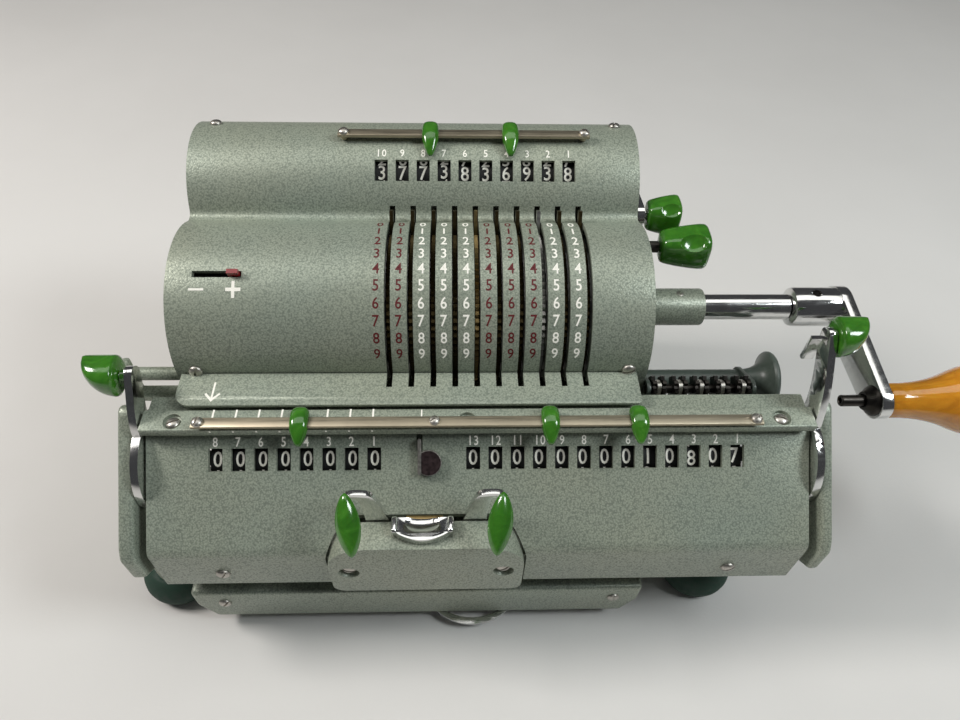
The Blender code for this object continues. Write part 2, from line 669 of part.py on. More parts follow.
def make_shift_block():
    outline = rounded_box(BLOCK_LEFT, BLOCK_RIGHT, BLOCK_FOOT, BLOCK_TOP, (4, 4, 13, 13), 30)
    body = prism("body", [outline], along("Y", BLOCK_FRONT), BLOCK_BACK - BLOCK_FRONT)
    painted(body, "shift_block")
    for side, name, x in ((-1, "shift_lever_left", -18.25), (1, "shift_lever_right", 26.1)):
        root = x - side * 7
        pivot = (x, KEY_PIVOT_Y, KEY_PIVOT_Z)
        strip = [(root - side * 3.7, KEY_FOOT_Z), (root + side * 3.7, KEY_FOOT_Z),
                 (x - side * 1.5, 79.5), (x + side * 1.5, 81.0), (x + side * 1.5, 83.2),
                 (root + side * 2.0, 83.8), (root - side * 1.0, 82.5)]
        plated(prism("strip", [strip], along("Y", BLOCK_BACK + GAP), 1.8), name, pivot)
        leaf = [(3.8 * math.sin(math.radians(a)) * abs(math.sin(math.radians(a))) ** 0.3,
                 9.6 * math.cos(math.radians(a))) for a in range(0, 360, 30)]
        tip = rounded(prism("leaf", [leaf], on_slope(x, 23.8, 13.4), 5.0), 1.5, 2)
        green(tip, name + "_tip", pivot)
    lip = arc(LATCH_X, -64.1, 13.9, 230, 310, 16)
    edge = [(LATCH_X + 9.6, -69.9), (LATCH_X + 7.6, -69.9)]
    hollow = arc(LATCH_X, -64.1, 12.0, 307, 233, 19)
    latch = prism("latch", [lip + edge + hollow + [(LATCH_X - 7.6, -69.9), (LATCH_X - 9.6, -69.9)]],
                  along("Z", BLOCK_TOP + GAP), 3.6)
    plated(rounded(latch, 0.5, 1), "thumb_latch", (LATCH_X, -72, BLOCK_TOP + GAP))


def make_mode_lever():
    """A small flat lever on the slope: a straight stem along the flat side of a round thumb plate."""
    matrix = on_slope(4.7, 7.8, 0.5)
    stem = prism("stem", [[(-3.4, -2.0), (-2.2, -2.0), (-2.2, 7.6), (-3.4, 7.6)]], matrix, 1.8)
    disc = prism("disc", [arc(0, 0, 4.0, -135, 135, 18)], matrix, 1.8)
    steel(unite(stem, disc), "mode_lever", (2.0, -53.6, 79.5))


def make_dials(name, first_x, count, direction, x0, x1):
    """A register's number wheels on their own shaft."""
    profile = [(0, x1 - x0), (2.5, x1 - x0)]
    centres = sorted((first_x + direction * PITCH * k for k in range(count)), reverse=True)
    for x in centres:
        top = x + WINDOW_W / 2 + 0.3 - x0
        low = x - WINDOW_W / 2 - 0.3 - x0
        profile += [(2.5, top), (DIAL_R, top), (DIAL_R, low), (2.5, low)]
    profile += [(2.5, 0), (0, 0)]
    dials = turned("dials", profile, axle(x0, REGISTER_Y, REGISTER_Z), 15)
    finish(dials, name, DARK, 0.5, 0.0, (x0, REGISTER_Y, REGISTER_Z))


def make_reset_levers():
    """Each reset lever is a plate that turns about the register shaft, with a knob that points outwards."""
    for name, span, tip, knob_x, stem_x in (
            ("reset_lever_left", LEFT_LEVER_X, (-37.5, 99.8), (-98.3, -88), (-87.7, -85.0)),
            ("reset_lever_right", RIGHT_LEVER_X, (-31.6, 109.9), (129.3, 138.8), (128.0, 129.0))):
        outline = circle(REGISTER_Y, REGISTER_Z, RESET_R, 22)
        disc = prism("disc", [outline], along("X", span[0]), span[1] - span[0])
        arm = prism("arm", [link_outline(REGISTER_Y, REGISTER_Z, 6, tip[0], tip[1], 3.2)],
                    along("X", span[0] + 0.1), span[1] - span[0] - 0.2)
        stem = rod("stem", tip[0], tip[1], 2.0, stem_x[0], stem_x[1], 12)
        pivot = (span[0], REGISTER_Y, REGISTER_Z)
        plated(unite(disc, arm, stem), name, pivot)
        knob = block("knob", knob_x, (tip[0] - 6, tip[0] + 6), (tip[1] - 6, tip[1] + 6))
        green(rounded(knob, 3, 3), name + "_knob", pivot)


make_feet()
make_base()
make_side_frames()
make_housing()
make_top_trim()
make_marker("top_marker_left", 5.0, TOP_BAR_Y, TOP_BAR_Z, 8.6)
make_marker("top_marker_right", 31.9, TOP_BAR_Y, TOP_BAR_Z, 8.6)
make_input_dials()
make_rotor()
make_setting_levers()
make_crank()
make_side_levers()
make_guides()
make_carry_wheels()
make_carriage_cover()
make_carriage_frame()
make_shift_block()
make_mode_lever()
make_dials("counter_dials", FIRST_COUNTER_X, DIGITS_COUNTER, -1, -80, -6)
make_dials("result_dials", FIRST_RESULT_X, DIGITS_RESULT, 1, 10, 122)
make_reset_levers()
make_marker("carriage_marker_left", -34.1, CARRIAGE_BAR_Y, CARRIAGE_BAR_Z, 6.8)
make_marker("carriage_marker_middle", 42.1, CARRIAGE_BAR_Y, CARRIAGE_BAR_Z, 6.8)
make_marker("carriage_marker_right", 69.5, CARRIAGE_BAR_Y, CARRIAGE_BAR_Z, 6.8)
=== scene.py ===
"""Looks of the pinwheel calculating machine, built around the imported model.

Sizes are millimetres in the machine's working frame: X along the drum axis (0 at the middle of the housing),
Y backwards from the drum axis, Z up from the table. place() turns them into the scene's metres.
"""

import math
import random

import bmesh
import bpy
from mathutils import Matrix, Vector


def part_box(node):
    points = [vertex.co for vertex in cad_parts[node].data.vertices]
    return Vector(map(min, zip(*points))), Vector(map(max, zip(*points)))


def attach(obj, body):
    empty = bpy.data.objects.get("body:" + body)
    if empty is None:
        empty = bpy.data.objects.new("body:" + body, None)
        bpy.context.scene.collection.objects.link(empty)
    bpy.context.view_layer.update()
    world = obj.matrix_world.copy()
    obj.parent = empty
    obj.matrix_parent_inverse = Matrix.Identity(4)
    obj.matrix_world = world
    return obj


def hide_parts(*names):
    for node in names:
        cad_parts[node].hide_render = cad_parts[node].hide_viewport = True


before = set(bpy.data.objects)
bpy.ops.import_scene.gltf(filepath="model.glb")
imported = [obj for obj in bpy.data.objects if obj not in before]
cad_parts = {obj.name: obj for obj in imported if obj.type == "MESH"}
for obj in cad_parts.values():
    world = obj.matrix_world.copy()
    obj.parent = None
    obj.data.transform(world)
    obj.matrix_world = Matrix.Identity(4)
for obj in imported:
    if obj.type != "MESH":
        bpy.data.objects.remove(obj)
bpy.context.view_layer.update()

MM = 0.001
COVER_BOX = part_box("main_cover")
SHAFT_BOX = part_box("crank_shaft")
ORIGIN = Vector(((COVER_BOX[0][0] + COVER_BOX[1][0]) / 2, (SHAFT_BOX[0][1] + SHAFT_BOX[1][1]) / 2, 0))

# Digit layout
PITCH = 7.0
COLUMNS = range(1, 11)
FIRST_SLOT_X = 55.06
SLOT_W = 1.9
WINDOW_W = 4.4
WINDOW_L = 7.2
FIRST_COUNTER_X = -12.4
DIGITS_COUNTER = 8
FIRST_RESULT_X = 18.6
DIGITS_RESULT = 13
SETTING_STEP = 10.8
ZERO_ANGLE = 113.2
FIGURE_STEP = 1.9
INK = 0.05

# Housing, drum and bulge
DRUM_Y = 0.0
DRUM_Z = 90.7
DRUM_R = 29.5
BULGE_Y = 41.8
BULGE_Z = 108.9
BULGE_R = 23.5
WAIST_FILLET = 3.0
HOUSING_X = 75.65
WALL = 2.0
HOUSING_FOOT_Z = 15.0
FRONT_LIP_Z = 86.0
APRON_FRONT = -42.3
APRON_Z = 89.9
SWEEP_R = 34.6
SIGN_ANGLE = 66.0
TOP_WINDOW_ANGLE = 126.9
INPUT_Y = 34.0
INPUT_Z = 119.3
INPUT_R = 8.0

# Crank
HUB_LEFT = 131.0
ARM_X = 147.2
ARM_T = 3.7
ARM_LEAN = 0.0899
PIN_Y = -36.7
PIN_Z = 84.1
PIN_LEFT = 139.8
HANDLE_X = 155.0
HANDLE_END_X = 225.0
HANDLE_R = 13.2

# Carriage
REGISTER_Y = -47.4
REGISTER_Z = 69.1
DIAL_R = 9.5
RESET_R = 16.6
COVER_LEFT = -82.8
COVER_RIGHT = 125.9
COVER_FRONT = -77.0
COVER_FOOT_Z = 38.2
COVER_KNEE_Z = 59.7
COVER_TOP_Y = -49.3
COVER_TOP_Z = 83.1
COVER_WALL = 1.6
COVER_TUCK = 1.5
RAIL_TOP = 89.5
CARRIAGE_BAR_Y = -49.6
CARRIAGE_BAR_Z = 91.2
TOP_BAR_Y = 38.5
TOP_BAR_Z = 134.0
BLOCK_LEFT = -27.3
BLOCK_RIGHT = 34.7
BLOCK_FRONT = -79.5
BLOCK_BACK = -70.2
BAY_BACK = -67.7
BLOCK_TOP = 67.5
BLOCK_FOOT = 37.0
LATCH_X = 2.85
WINDOW_DOWN = 6.7
LABEL_DOWN = 1.1
RAIL_SCREW_X = (-73.2, 16.7, 115.5)
RAIL_SCREW_Y = -47.2
RAIL_SCREW_R = 2.1
BLOCK_SCREW_X = (-21.1, 28.3)
BLOCK_SCREW_Z = 51.0

# Setting rings, carry wheels and guide tube
RING_R = 25.6
FINGER_R = 33.5
FINGER_ANGLE = 119.0
CARRY_Y = -31.3
CARRY_Z = 84.0
TUBE_Y = -22.0
TUBE_Z = 77.0


# ---------------------------------------------------------------- shape helpers

def place(x, y, z):
    return ORIGIN + Vector((x, y, z)) * MM


def spot_at(x, y, z):
    """Matrix at a point with local Z along +Z."""
    return Matrix.Translation(place(x, y, z))


TURNS = {"X": Matrix(((0, 0, 1), (1, 0, 0), (0, 1, 0))).to_4x4(),
         "Y": Matrix(((1, 0, 0), (0, 0, 1), (0, 1, 0))).to_4x4(),
         "Z": Matrix.Identity(4)}


def along(axis, lo):
    """Matrix whose local Z runs along axis. Outlines are (y, z) for X, (x, z) for Y and (x, y) for Z."""
    return spot_at(*(lo if letter == axis else 0 for letter in "XYZ")) @ TURNS[axis]


def on_slope(x, down, height):
    """Matrix on the carriage's slope: local X along the machine, local Y up the slope, local Z out."""
    out = Vector((0, COVER_KNEE_Z - COVER_TOP_Z, COVER_TOP_Y - COVER_FRONT)).normalized()
    uphill = Vector((0, COVER_TOP_Y - COVER_FRONT, COVER_TOP_Z - COVER_KNEE_Z)).normalized()
    start = place(x, COVER_TOP_Y, COVER_TOP_Z) - uphill * down * MM + out * height * MM
    turn = Matrix((Vector((1, 0, 0)), uphill, out)).transposed().to_4x4()
    return Matrix.Translation(start) @ turn


def axle(x, y, z):
    """Matrix at a point with local Z along +X."""
    return spot_at(x, y, z) @ Matrix.Rotation(math.radians(90), 4, "Y")


def facing(x, y, z, normal):
    """Matrix at a point with local Z along normal."""
    return spot_at(x, y, z) @ Vector(normal).normalized().to_track_quat("Z", "Y").to_matrix().to_4x4()


def link(name, data):
    piece = bpy.data.objects.new(name, data)
    bpy.context.scene.collection.objects.link(piece)
    return piece


def to_object(name, bm):
    mesh = bpy.data.meshes.new(name)
    bm.to_mesh(mesh)
    bm.free()
    return link(name, mesh)


def bake(piece, weld=True):
    """Replaces a piece by the mesh that its modifiers give, with its place in the vertices."""
    bpy.context.view_layer.update()
    graph = bpy.context.evaluated_depsgraph_get()
    mesh = bpy.data.meshes.new_from_object(piece.evaluated_get(graph))
    mesh.transform(piece.matrix_world)
    name = piece.name
    bpy.data.objects.remove(piece)
    if weld:
        bm = bmesh.new()
        bm.from_mesh(mesh)
        bmesh.ops.remove_doubles(bm, verts=bm.verts, dist=1e-6)
        bmesh.ops.recalc_face_normals(bm, faces=bm.faces)
        bm.to_mesh(mesh)
        bm.free()
    return link(name, mesh)


def arc(cy, cz, r, start, end, step=10.0):
    count = max(2, int(math.ceil(abs(end - start) / step)) + 1)
    points = []
    for i in range(count):
        a = math.radians(start + (end - start) * i / (count - 1))
        points.append((cy + r * math.cos(a), cz + r * math.sin(a)))
    return points


def circle(cy, cz, r, sides=48):
    return [(cy + r * math.cos(2 * math.pi * i / sides), cz + r * math.sin(2 * math.pi * i / sides))
            for i in range(sides)]


def rounded_box(x0, x1, y0, y1, r, step=10.0):
    """Outline of a box with corner radii r = (lower left, lower right, upper right, upper left)."""
    corners = ((x0, y0, 180, 270), (x1, y0, 270, 360), (x1, y1, 0, 90), (x0, y1, 90, 180))
    points = []
    for (x, y, start, end), radius in zip(corners, r):
        cx = x + radius * (1 if x == x0 else -1)
        cy = y + radius * (1 if y == y0 else -1)
        points.extend(arc(cx, cy, radius, start, end, step))
    return points


def link_outline(y0, z0, r0, y1, z1, r1, step=8.0):
    """Outline of a flat link: a round end of radius r0 at the first point and r1 at the second."""
    lean = math.degrees(math.atan2(z1 - z0, y1 - y0))
    spread = math.degrees(math.asin((r0 - r1) / math.hypot(y1 - y0, z1 - z0)))
    far = arc(y1, z1, r1, lean - 90 + spread, lean + 90 - spread, step)
    near = arc(y0, z0, r0, lean + 90 - spread, lean + 270 + spread, step)
    return far + near


def flowing(points, steps=4, sharp=()):
    """A closed outline that runs smoothly through its points, apart from the numbered sharp ones."""
    outline = []
    count = len(points)
    for i in range(count):
        p1 = Vector(points[i])
        p2 = Vector(points[(i + 1) % count])
        before = (p2 - Vector(points[i - 1])) / 2 if i not in sharp else (p2 - p1)
        after = (Vector(points[(i + 2) % count]) - p1) / 2 if (i + 1) % count not in sharp else (p2 - p1)
        if i in sharp and (i + 1) % count in sharp:
            outline.append(tuple(p1))
            continue
        for j in range(steps):
            t = j / steps
            a = 2 * t ** 3 - 3 * t ** 2 + 1
            b = t ** 3 - 2 * t ** 2 + t
            c = 3 * t ** 2 - 2 * t ** 3
            d = t ** 3 - t ** 2
            outline.append(tuple(p1 * a + before * b + p2 * c + after * d))
    return outline


def radial_bar(angle, r0, r1, width):
    """Side outline of a bar that points away from the drum axis, angle in degrees up from the front."""
    out = Vector((-math.cos(math.radians(angle)), math.sin(math.radians(angle))))
    side = Vector((-out.y, out.x)) * width / 2
    centre = Vector((DRUM_Y, DRUM_Z))
    return [tuple(centre + out * r + side * s) for r, s in ((r0, -1), (r1, -1), (r1, 1), (r0, 1))]


def prism(name, outlines, matrix, depth):
    """A flat outline with holes, extruded from the matrix's plane along its local Z."""
    curve = bpy.data.curves.new(name, "CURVE")
    curve.dimensions = "2D"
    curve.fill_mode = "BOTH"
    curve.extrude = depth * MM / 2
    for outline in outlines:
        spline = curve.splines.new("POLY")
        spline.points.add(len(outline) - 1)
        for point, (a, b) in zip(spline.points, outline):
            point.co = (a * MM, b * MM, 0, 1)
        spline.use_cyclic_u = True
    piece = link(name, curve)
    piece.matrix_world = matrix @ Matrix.Translation((0, 0, depth * MM / 2))
    return bake(piece)


def block(name, x, y, z):
    low = place(x[0], y[0], z[0])
    high = place(x[1], y[1], z[1])
    bm = bmesh.new()
    matrix = Matrix.Translation((low + high) / 2) @ Matrix.Diagonal(high - low).to_4x4()
    bmesh.ops.create_cube(bm, size=1.0, matrix=matrix)
    return to_object(name, bm)


def turned(name, profile, matrix, steps=48):
    """A turned piece: profile is (radius, height) pairs, turned about the matrix's local Z."""
    mesh = bpy.data.meshes.new(name)
    points = [(r * MM, 0, h * MM) for r, h in profile]
    edges = [(i, i + 1) for i in range(len(points) - 1)]
    if profile[0][0] > 0:
        edges.append((len(points) - 1, 0))
    mesh.from_pydata(points, edges, [])
    piece = link(name, mesh)
    piece.matrix_world = matrix
    screw = piece.modifiers.new("turn", "SCREW")
    screw.steps = steps
    screw.render_steps = steps
    screw.use_merge_vertices = True
    screw.merge_threshold = 1e-6
    return bake(piece)


def chamfered_bar(r, length, edge=0.4):
    """Turned profile of a solid bar with broken edges, from its far end to its near end."""
    return [(0, length), (r - edge, length), (r - edge * 0.3, length - edge * 0.3), (r, length - edge),
            (r, edge), (r - edge * 0.3, edge * 0.3), (r - edge, 0), (0, 0)]


def bowl(radius, depth, angles):
    """Turned profile of a round-bottomed bowl, from its rim to its lowest point."""
    return [(0, depth)] + [(radius * math.sin(math.radians(a)), depth - depth * math.cos(math.radians(a)))
                           for a in angles]


def combine(piece, others, operation):
    for other in others:
        step = piece.modifiers.new(operation.lower(), "BOOLEAN")
        step.operation = operation
        step.solver = "EXACT"
        step.object = other
    whole = bake(piece)
    for other in others:
        bpy.data.objects.remove(other)
    return whole


def unite(piece, *others):
    return combine(piece, others, "UNION")


def cut(piece, *tools):
    return combine(piece, tools, "DIFFERENCE")


def gang(name, pieces):
    """Joins separate meshes into one object."""
    bm = bmesh.new()
    for piece in pieces:
        bm.from_mesh(piece.data)
        bpy.data.objects.remove(piece)
    return to_object(name, bm)


def rounded(piece, width, segments=3, angle=40):
    step = piece.modifiers.new("round", "BEVEL")
    step.width = width * MM
    step.segments = segments
    step.limit_method = "ANGLE"
    step.angle_limit = math.radians(angle)
    return bake(piece)


def smoothed(piece, levels=1):
    step = piece.modifiers.new("smooth", "SUBSURF")
    step.levels = levels
    step.render_levels = levels
    return bake(piece)


def loft(name, stations, matrix, sides=24):
    """A closed form through superellipse sections (height, centre x, centre y, half x, half y, power)."""
    bm = bmesh.new()
    rings = []
    for height, cx, cy, rx, ry, power in stations:
        ring = []
        for i in range(sides):
            a = 2 * math.pi * i / sides
            c = math.copysign(abs(math.cos(a)) ** (2 / power), math.cos(a))
            s = math.copysign(abs(math.sin(a)) ** (2 / power), math.sin(a))
            ring.append(bm.verts.new(matrix @ (Vector((cx + rx * c, cy + ry * s, height)) * MM)))
        rings.append(ring)
    for low, high in zip(rings, rings[1:]):
        for i in range(sides):
            j = (i + 1) % sides
            bm.faces.new((low[i], low[j], high[j], high[i]))
    bm.faces.new(rings[0][::-1])
    bm.faces.new(rings[-1])
    bmesh.ops.recalc_face_normals(bm, faces=bm.faces)
    return to_object(name, bm)


# ---------------------------------------------------------------- materials

class Paint:
    """Builds one node material: a Principled shader with texture nodes in object coordinates."""

    def __init__(self, name, colour, roughness, metallic=0.0, **sockets):
        self.material = bpy.data.materials.new(name)
        self.material.use_nodes = True
        self.tree = self.material.node_tree
        self.shader = self.tree.nodes["Principled BSDF"]
        self.shader.inputs["Base Color"].default_value = (*colour, 1)
        self.shader.inputs["Roughness"].default_value = roughness
        self.shader.inputs["Metallic"].default_value = metallic
        for socket, value in sockets.items():
            self.shader.inputs[socket.replace("_", " ")].default_value = value
        self.coords = self.tree.nodes.new("ShaderNodeTexCoord").outputs["Object"]

    def node(self, kind, **values):
        node = self.tree.nodes.new("ShaderNode" + kind)
        for key, value in values.items():
            if hasattr(node, key):
                setattr(node, key, value)
            else:
                node.inputs[key.replace("_", " ")].default_value = value
        return node

    def wire(self, source, target):
        self.tree.links.new(source, target)

    def stretched(self, scale):
        mapping = self.node("Mapping", Scale=scale)
        self.wire(self.coords, mapping.inputs["Vector"])
        return mapping.outputs["Vector"]

    def noise(self, scale, detail=3.0, roughness=0.5, distortion=0.0, vector=None):
        noise = self.node("TexNoise", Scale=scale, Detail=detail, Roughness=roughness,
                          Distortion=distortion)
        self.wire(vector or self.coords, noise.inputs["Vector"])
        return noise.outputs["Fac"]

    def ramp(self, source, stops):
        ramp = self.node("ValToRGB")
        elements = ramp.color_ramp.elements
        while len(elements) < len(stops):
            elements.new(0.5)
        for element, (position, colour) in zip(elements, stops):
            element.position = position
            element.color = (*colour, 1)
        self.wire(source, ramp.inputs["Fac"])
        return ramp.outputs["Color"]

    def spread(self, source, low, high, from_low=0.3, from_high=0.7):
        span = self.node("MapRange")
        for socket, value in (("From Min", from_low), ("From Max", from_high),
                              ("To Min", low), ("To Max", high)):
            span.inputs[socket].default_value = value
        self.wire(source, span.inputs["Value"])
        return span.outputs["Result"]

    def mix(self, factor, a, b, blend="MIX"):
        mix = self.node("Mix", data_type="RGBA", blend_type=blend)
        for value, index in ((factor, 0), (a, 6), (b, 7)):
            if isinstance(value, (int, float)):
                mix.inputs[index].default_value = value
            elif isinstance(value, tuple):
                mix.inputs[index].default_value = (*value, 1)
            else:
                self.wire(value, mix.inputs[index])
        return mix.outputs[2]

    def colour(self, source):
        self.wire(source, self.shader.inputs["Base Color"])
        return self

    def rough(self, source):
        self.wire(source, self.shader.inputs["Roughness"])
        return self

    def bump(self, source, strength, distance_mm):
        bump = self.node("Bump", Strength=strength, Distance=distance_mm * MM)
        self.wire(source, bump.inputs["Height"])
        last = self.shader.inputs["Normal"]
        if last.is_linked:
            self.wire(last.links[0].from_socket, bump.inputs["Normal"])
        self.wire(bump.outputs["Normal"], last)
        return self


def shade(colour, factor):
    return tuple(c * factor for c in colour)


def hammertone():
    """Grey-green hammer enamel: soft dimples under a millimetre across with darker veins between them."""
    paint = Paint("hammered_paint", (0.33, 0.37, 0.3), 0.4, 0.25, Coat_Weight=0.1, Coat_Roughness=0.3)
    warp = paint.node("TexNoise", Scale=900.0, Detail=2.0)
    paint.wire(paint.coords, warp.inputs["Vector"])
    shift = paint.node("VectorMath", operation="MULTIPLY_ADD")
    paint.wire(warp.outputs["Color"], shift.inputs[0])
    shift.inputs[1].default_value = (0.0008, 0.0008, 0.0008)
    paint.wire(paint.coords, shift.inputs[2])
    cells = paint.node("TexVoronoi", feature="SMOOTH_F1", Scale=1750.0, Smoothness=0.6)
    paint.wire(shift.outputs["Vector"], cells.inputs["Vector"])
    dimple = cells.outputs["Distance"]
    fleck = paint.noise(2600, 3, 0.6)
    tint = paint.ramp(dimple, ((0.08, (0.41, 0.445, 0.375)), (0.38, (0.35, 0.385, 0.325)),
                               (0.72, (0.225, 0.255, 0.215))))
    speck = paint.ramp(fleck, ((0.35, (0.8, 0.82, 0.8)), (0.62, (1.12, 1.12, 1.06))))
    cloud = paint.ramp(paint.noise(26, 3), ((0.3, (0.95, 0.98, 0.98)), (0.7, (1.04, 1.02, 0.98))))
    paint.colour(paint.mix(1.0, paint.mix(0.75, tint, speck, "MULTIPLY"), cloud, "MULTIPLY"))
    paint.rough(paint.spread(dimple, 0.32, 0.5, 0.1, 0.8))
    paint.bump(dimple, 0.7, -0.07)
    paint.bump(fleck, 0.3, 0.02)
    return paint.material


def green_plastic():
    """Moulded green plastic with a faint swirl."""
    paint = Paint("green_plastic", (0.07, 0.3, 0.02), 0.14, 0.0, Coat_Weight=0.6, Coat_Roughness=0.06,
                  Subsurface_Weight=0.08, Subsurface_Scale=0.002)
    swirl = paint.noise(140, 4, 0.6, 1.5)
    paint.colour(paint.ramp(swirl, ((0.3, (0.028, 0.13, 0.01)), (0.55, (0.045, 0.19, 0.014)),
                                    (0.8, (0.085, 0.27, 0.03)))))
    paint.rough(paint.spread(paint.noise(500, 3), 0.1, 0.24))
    paint.bump(paint.noise(900, 2), 0.08, 0.05)
    return paint.material


def amber_plastic():
    """Marbled amber casein: darker streaks drawn out along the handle."""
    paint = Paint("amber_plastic", (0.62, 0.24, 0.02), 0.12, 0.0, Coat_Weight=0.8, Coat_Roughness=0.04,
                  Subsurface_Weight=0.25, Subsurface_Scale=0.004)
    paint.shader.inputs["Subsurface Radius"].default_value = (1.0, 0.4, 0.1)
    streak = paint.noise(160, 5, 0.62, 2.2, paint.stretched((0.35, 1.0, 1.0)))
    paint.colour(paint.ramp(streak, ((0.3, (0.5, 0.19, 0.012)), (0.47, (0.6, 0.24, 0.015)),
                                     (0.6, (0.66, 0.275, 0.018)), (0.75, (0.72, 0.32, 0.03)))))
    paint.bump(paint.noise(700, 2), 0.06, 0.05)
    return paint.material


def plated():
    """Polished plating with fine wipe marks and dull spots."""
    colour = (0.72, 0.72, 0.71)
    base = 0.09
    paint = Paint("chrome_plate", colour, base, 1.0)
    wipes = paint.noise(300, 4, 0.6, 0.0, paint.stretched((0.5, 2.0, 2.0)))
    spots = paint.noise(90, 4, 0.7)
    paint.rough(paint.spread(paint.mix(0.5, wipes, spots), base * 0.6, base * 2.6))
    paint.colour(paint.ramp(paint.noise(240, 5, 0.7), ((0.28, shade(colour, 0.8)), (0.5, colour))))
    paint.bump(wipes, 0.06, 0.04)
    return paint.material


def brushed(name, colour, rough, tarnish=0.75, grain=(1.0, 1.0, 1.0)):
    """Metal with a fine grain, drawn out where grain differs by axis, and a little tarnish."""
    paint = Paint(name, colour, rough, 1.0)
    lines = paint.noise(900, 4, 0.6, 0.0, paint.stretched(grain))
    age = paint.noise(70, 5, 0.65)
    worn = paint.ramp(age, ((0.3, shade(colour, tarnish)), (0.65, colour)))
    paint.colour(paint.mix(0.35, worn, paint.ramp(lines, ((0.3, shade(colour, 0.72)), (0.7, colour)))))
    paint.rough(paint.spread(lines, rough * 0.75, rough * 1.35))
    paint.bump(lines, 0.2, 0.03)
    return paint.material


def satin(name, colour, rough, scale=600.0, contrast=0.85, bump=0.15, **sockets):
    """Non-metal with a fine mottle: lacquer, rubber, bone-white numerals and the like."""
    paint = Paint(name, colour, rough, 0.0, **sockets)
    mottle = paint.noise(scale, 4, 0.6)
    paint.colour(paint.ramp(mottle, ((0.3, shade(colour, contrast)), (0.7, colour))))
    paint.rough(paint.spread(mottle, rough * 0.8, min(1.0, rough * 1.2)))
    paint.bump(mottle, bump, 0.05)
    return paint.material


def floor_cloth():
    """Off-white cloth with soft clouds, shallow waves and a fine weave."""
    paint = Paint("floor_cloth", (0.72, 0.7, 0.67), 0.9)
    soft = paint.noise(5, 4, 0.55)
    paint.colour(paint.ramp(soft, ((0.25, (0.69, 0.675, 0.65)), (0.75, (0.75, 0.735, 0.71)))))
    paint.bump(paint.noise(14, 3), 0.25, 4)
    paint.bump(paint.noise(900, 2), 0.2, 0.2)
    return paint.material


ENAMEL = hammertone()
# Smooth dark enamel for the guide tube, darkened further to paint the shade it sits in under the rotor.
DARK_ENAMEL_AND_SHADE = satin("smooth_enamel_and_painted_shade", (0.075, 0.095, 0.08), 0.36, 900, 0.8, 0.1)
GREEN = green_plastic()
AMBER = amber_plastic()
CHROME = plated()
STRIP = brushed("nickel_strip", (0.5, 0.44, 0.33), 0.46, grain=(0.06, 3.0, 3.0))
STEEL = brushed("bare_steel", (0.5, 0.49, 0.47), 0.34)
BRASS = brushed("brass", (0.4, 0.29, 0.13), 0.4, 0.5)
# Brass darkened to paint the shade deep inside the narrow setting slots.
SHADE_DARKENED_BRASS = brushed("brass_painted_shade", (0.1, 0.075, 0.035), 0.45, 0.35)
BLUED = brushed("blued_steel", (0.085, 0.06, 0.062), 0.5, 0.7)
SCREW_STEEL = brushed("screw_steel", (0.6, 0.57, 0.52), 0.4, 0.6)
DARK = brushed("dark_steel", (0.055, 0.05, 0.045), 0.38, 0.6)
RUBBER = satin("rubber", (0.018, 0.055, 0.035), 0.72, 500, 0.7, 0.3)
BLACK = satin("dial_black", (0.006, 0.006, 0.007), 0.6, 900, 0.7)
# The numerals' ivory glows faintly by emission: painted light that brightens digits sitting in shade.
GLOWING_IVORY = satin("glowing_ivory_numeral", (0.86, 0.84, 0.76), 0.5, 1400, 0.9, 0.1,
              Emission_Color=(0.86, 0.84, 0.76, 1.0), Emission_Strength=0.16)
RED_INK = satin("red_numeral", (0.13, 0.008, 0.011), 0.6, 1400, 0.75, 0.1)
RED = satin("red_plastic", (0.3, 0.008, 0.012), 0.25, 500, 0.75, 0.1, Coat_Weight=0.5)


def show(piece, name, body, material, replaces=(), sharp=32):
    """Finishes a piece: name, material, shading, the body it rides on and the CAD nodes it stands for."""
    piece.name = name
    piece.data.name = name
    piece.data.materials.clear()
    piece.data.materials.append(material)
    piece.data.shade_smooth()
    piece.data.set_sharp_from_angle(angle=math.radians(sharp))
    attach(piece, body)
    if replaces:
        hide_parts(*replaces)
    return piece


def repaint(material, *nodes):
    """Gives carried-over CAD nodes their material."""
    for node in nodes:
        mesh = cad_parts[node].data
        mesh.materials.clear()
        mesh.materials.append(material)


# ---------------------------------------------------------------- numerals

GLYPHS = {}


def glyph(text):
    """A numeral's mesh one unit high, centred, as thin as its extrusion."""
    if text not in GLYPHS:
        curve = bpy.data.curves.new("glyph", "FONT")
        curve.body = text
        curve.align_x = "CENTER"
        curve.resolution_u = 3
        curve.extrude = 0.01
        curve.offset = 0.01
        piece = bake(link("glyph", curve))
        mesh = piece.data
        bm = bmesh.new()
        bm.from_mesh(mesh)
        for level in range(1, 12):
            everything = bm.verts[:] + bm.edges[:] + bm.faces[:]
            bmesh.ops.bisect_plane(bm, geom=everything, plane_co=(0, level * 0.065, 0),
                                   plane_no=(0, 1, 0))
        bm.to_mesh(mesh)
        bm.free()
        xs = [v.co.x for v in mesh.vertices]
        ys = [v.co.y for v in mesh.vertices]
        tall = max(ys) - min(ys) if text not in "+_" else 0.7
        shift = Vector(((max(xs) + min(xs)) / 2, (max(ys) + min(ys)) / 2, 0))
        points = [(v.co - shift) / tall for v in mesh.vertices]
        GLYPHS[text] = ([(p.x, p.y, 1 if p.z > 0 else 0) for p in points],
                        [tuple(f.vertices) for f in mesh.polygons])
        bpy.data.objects.remove(piece)
    return GLYPHS[text]


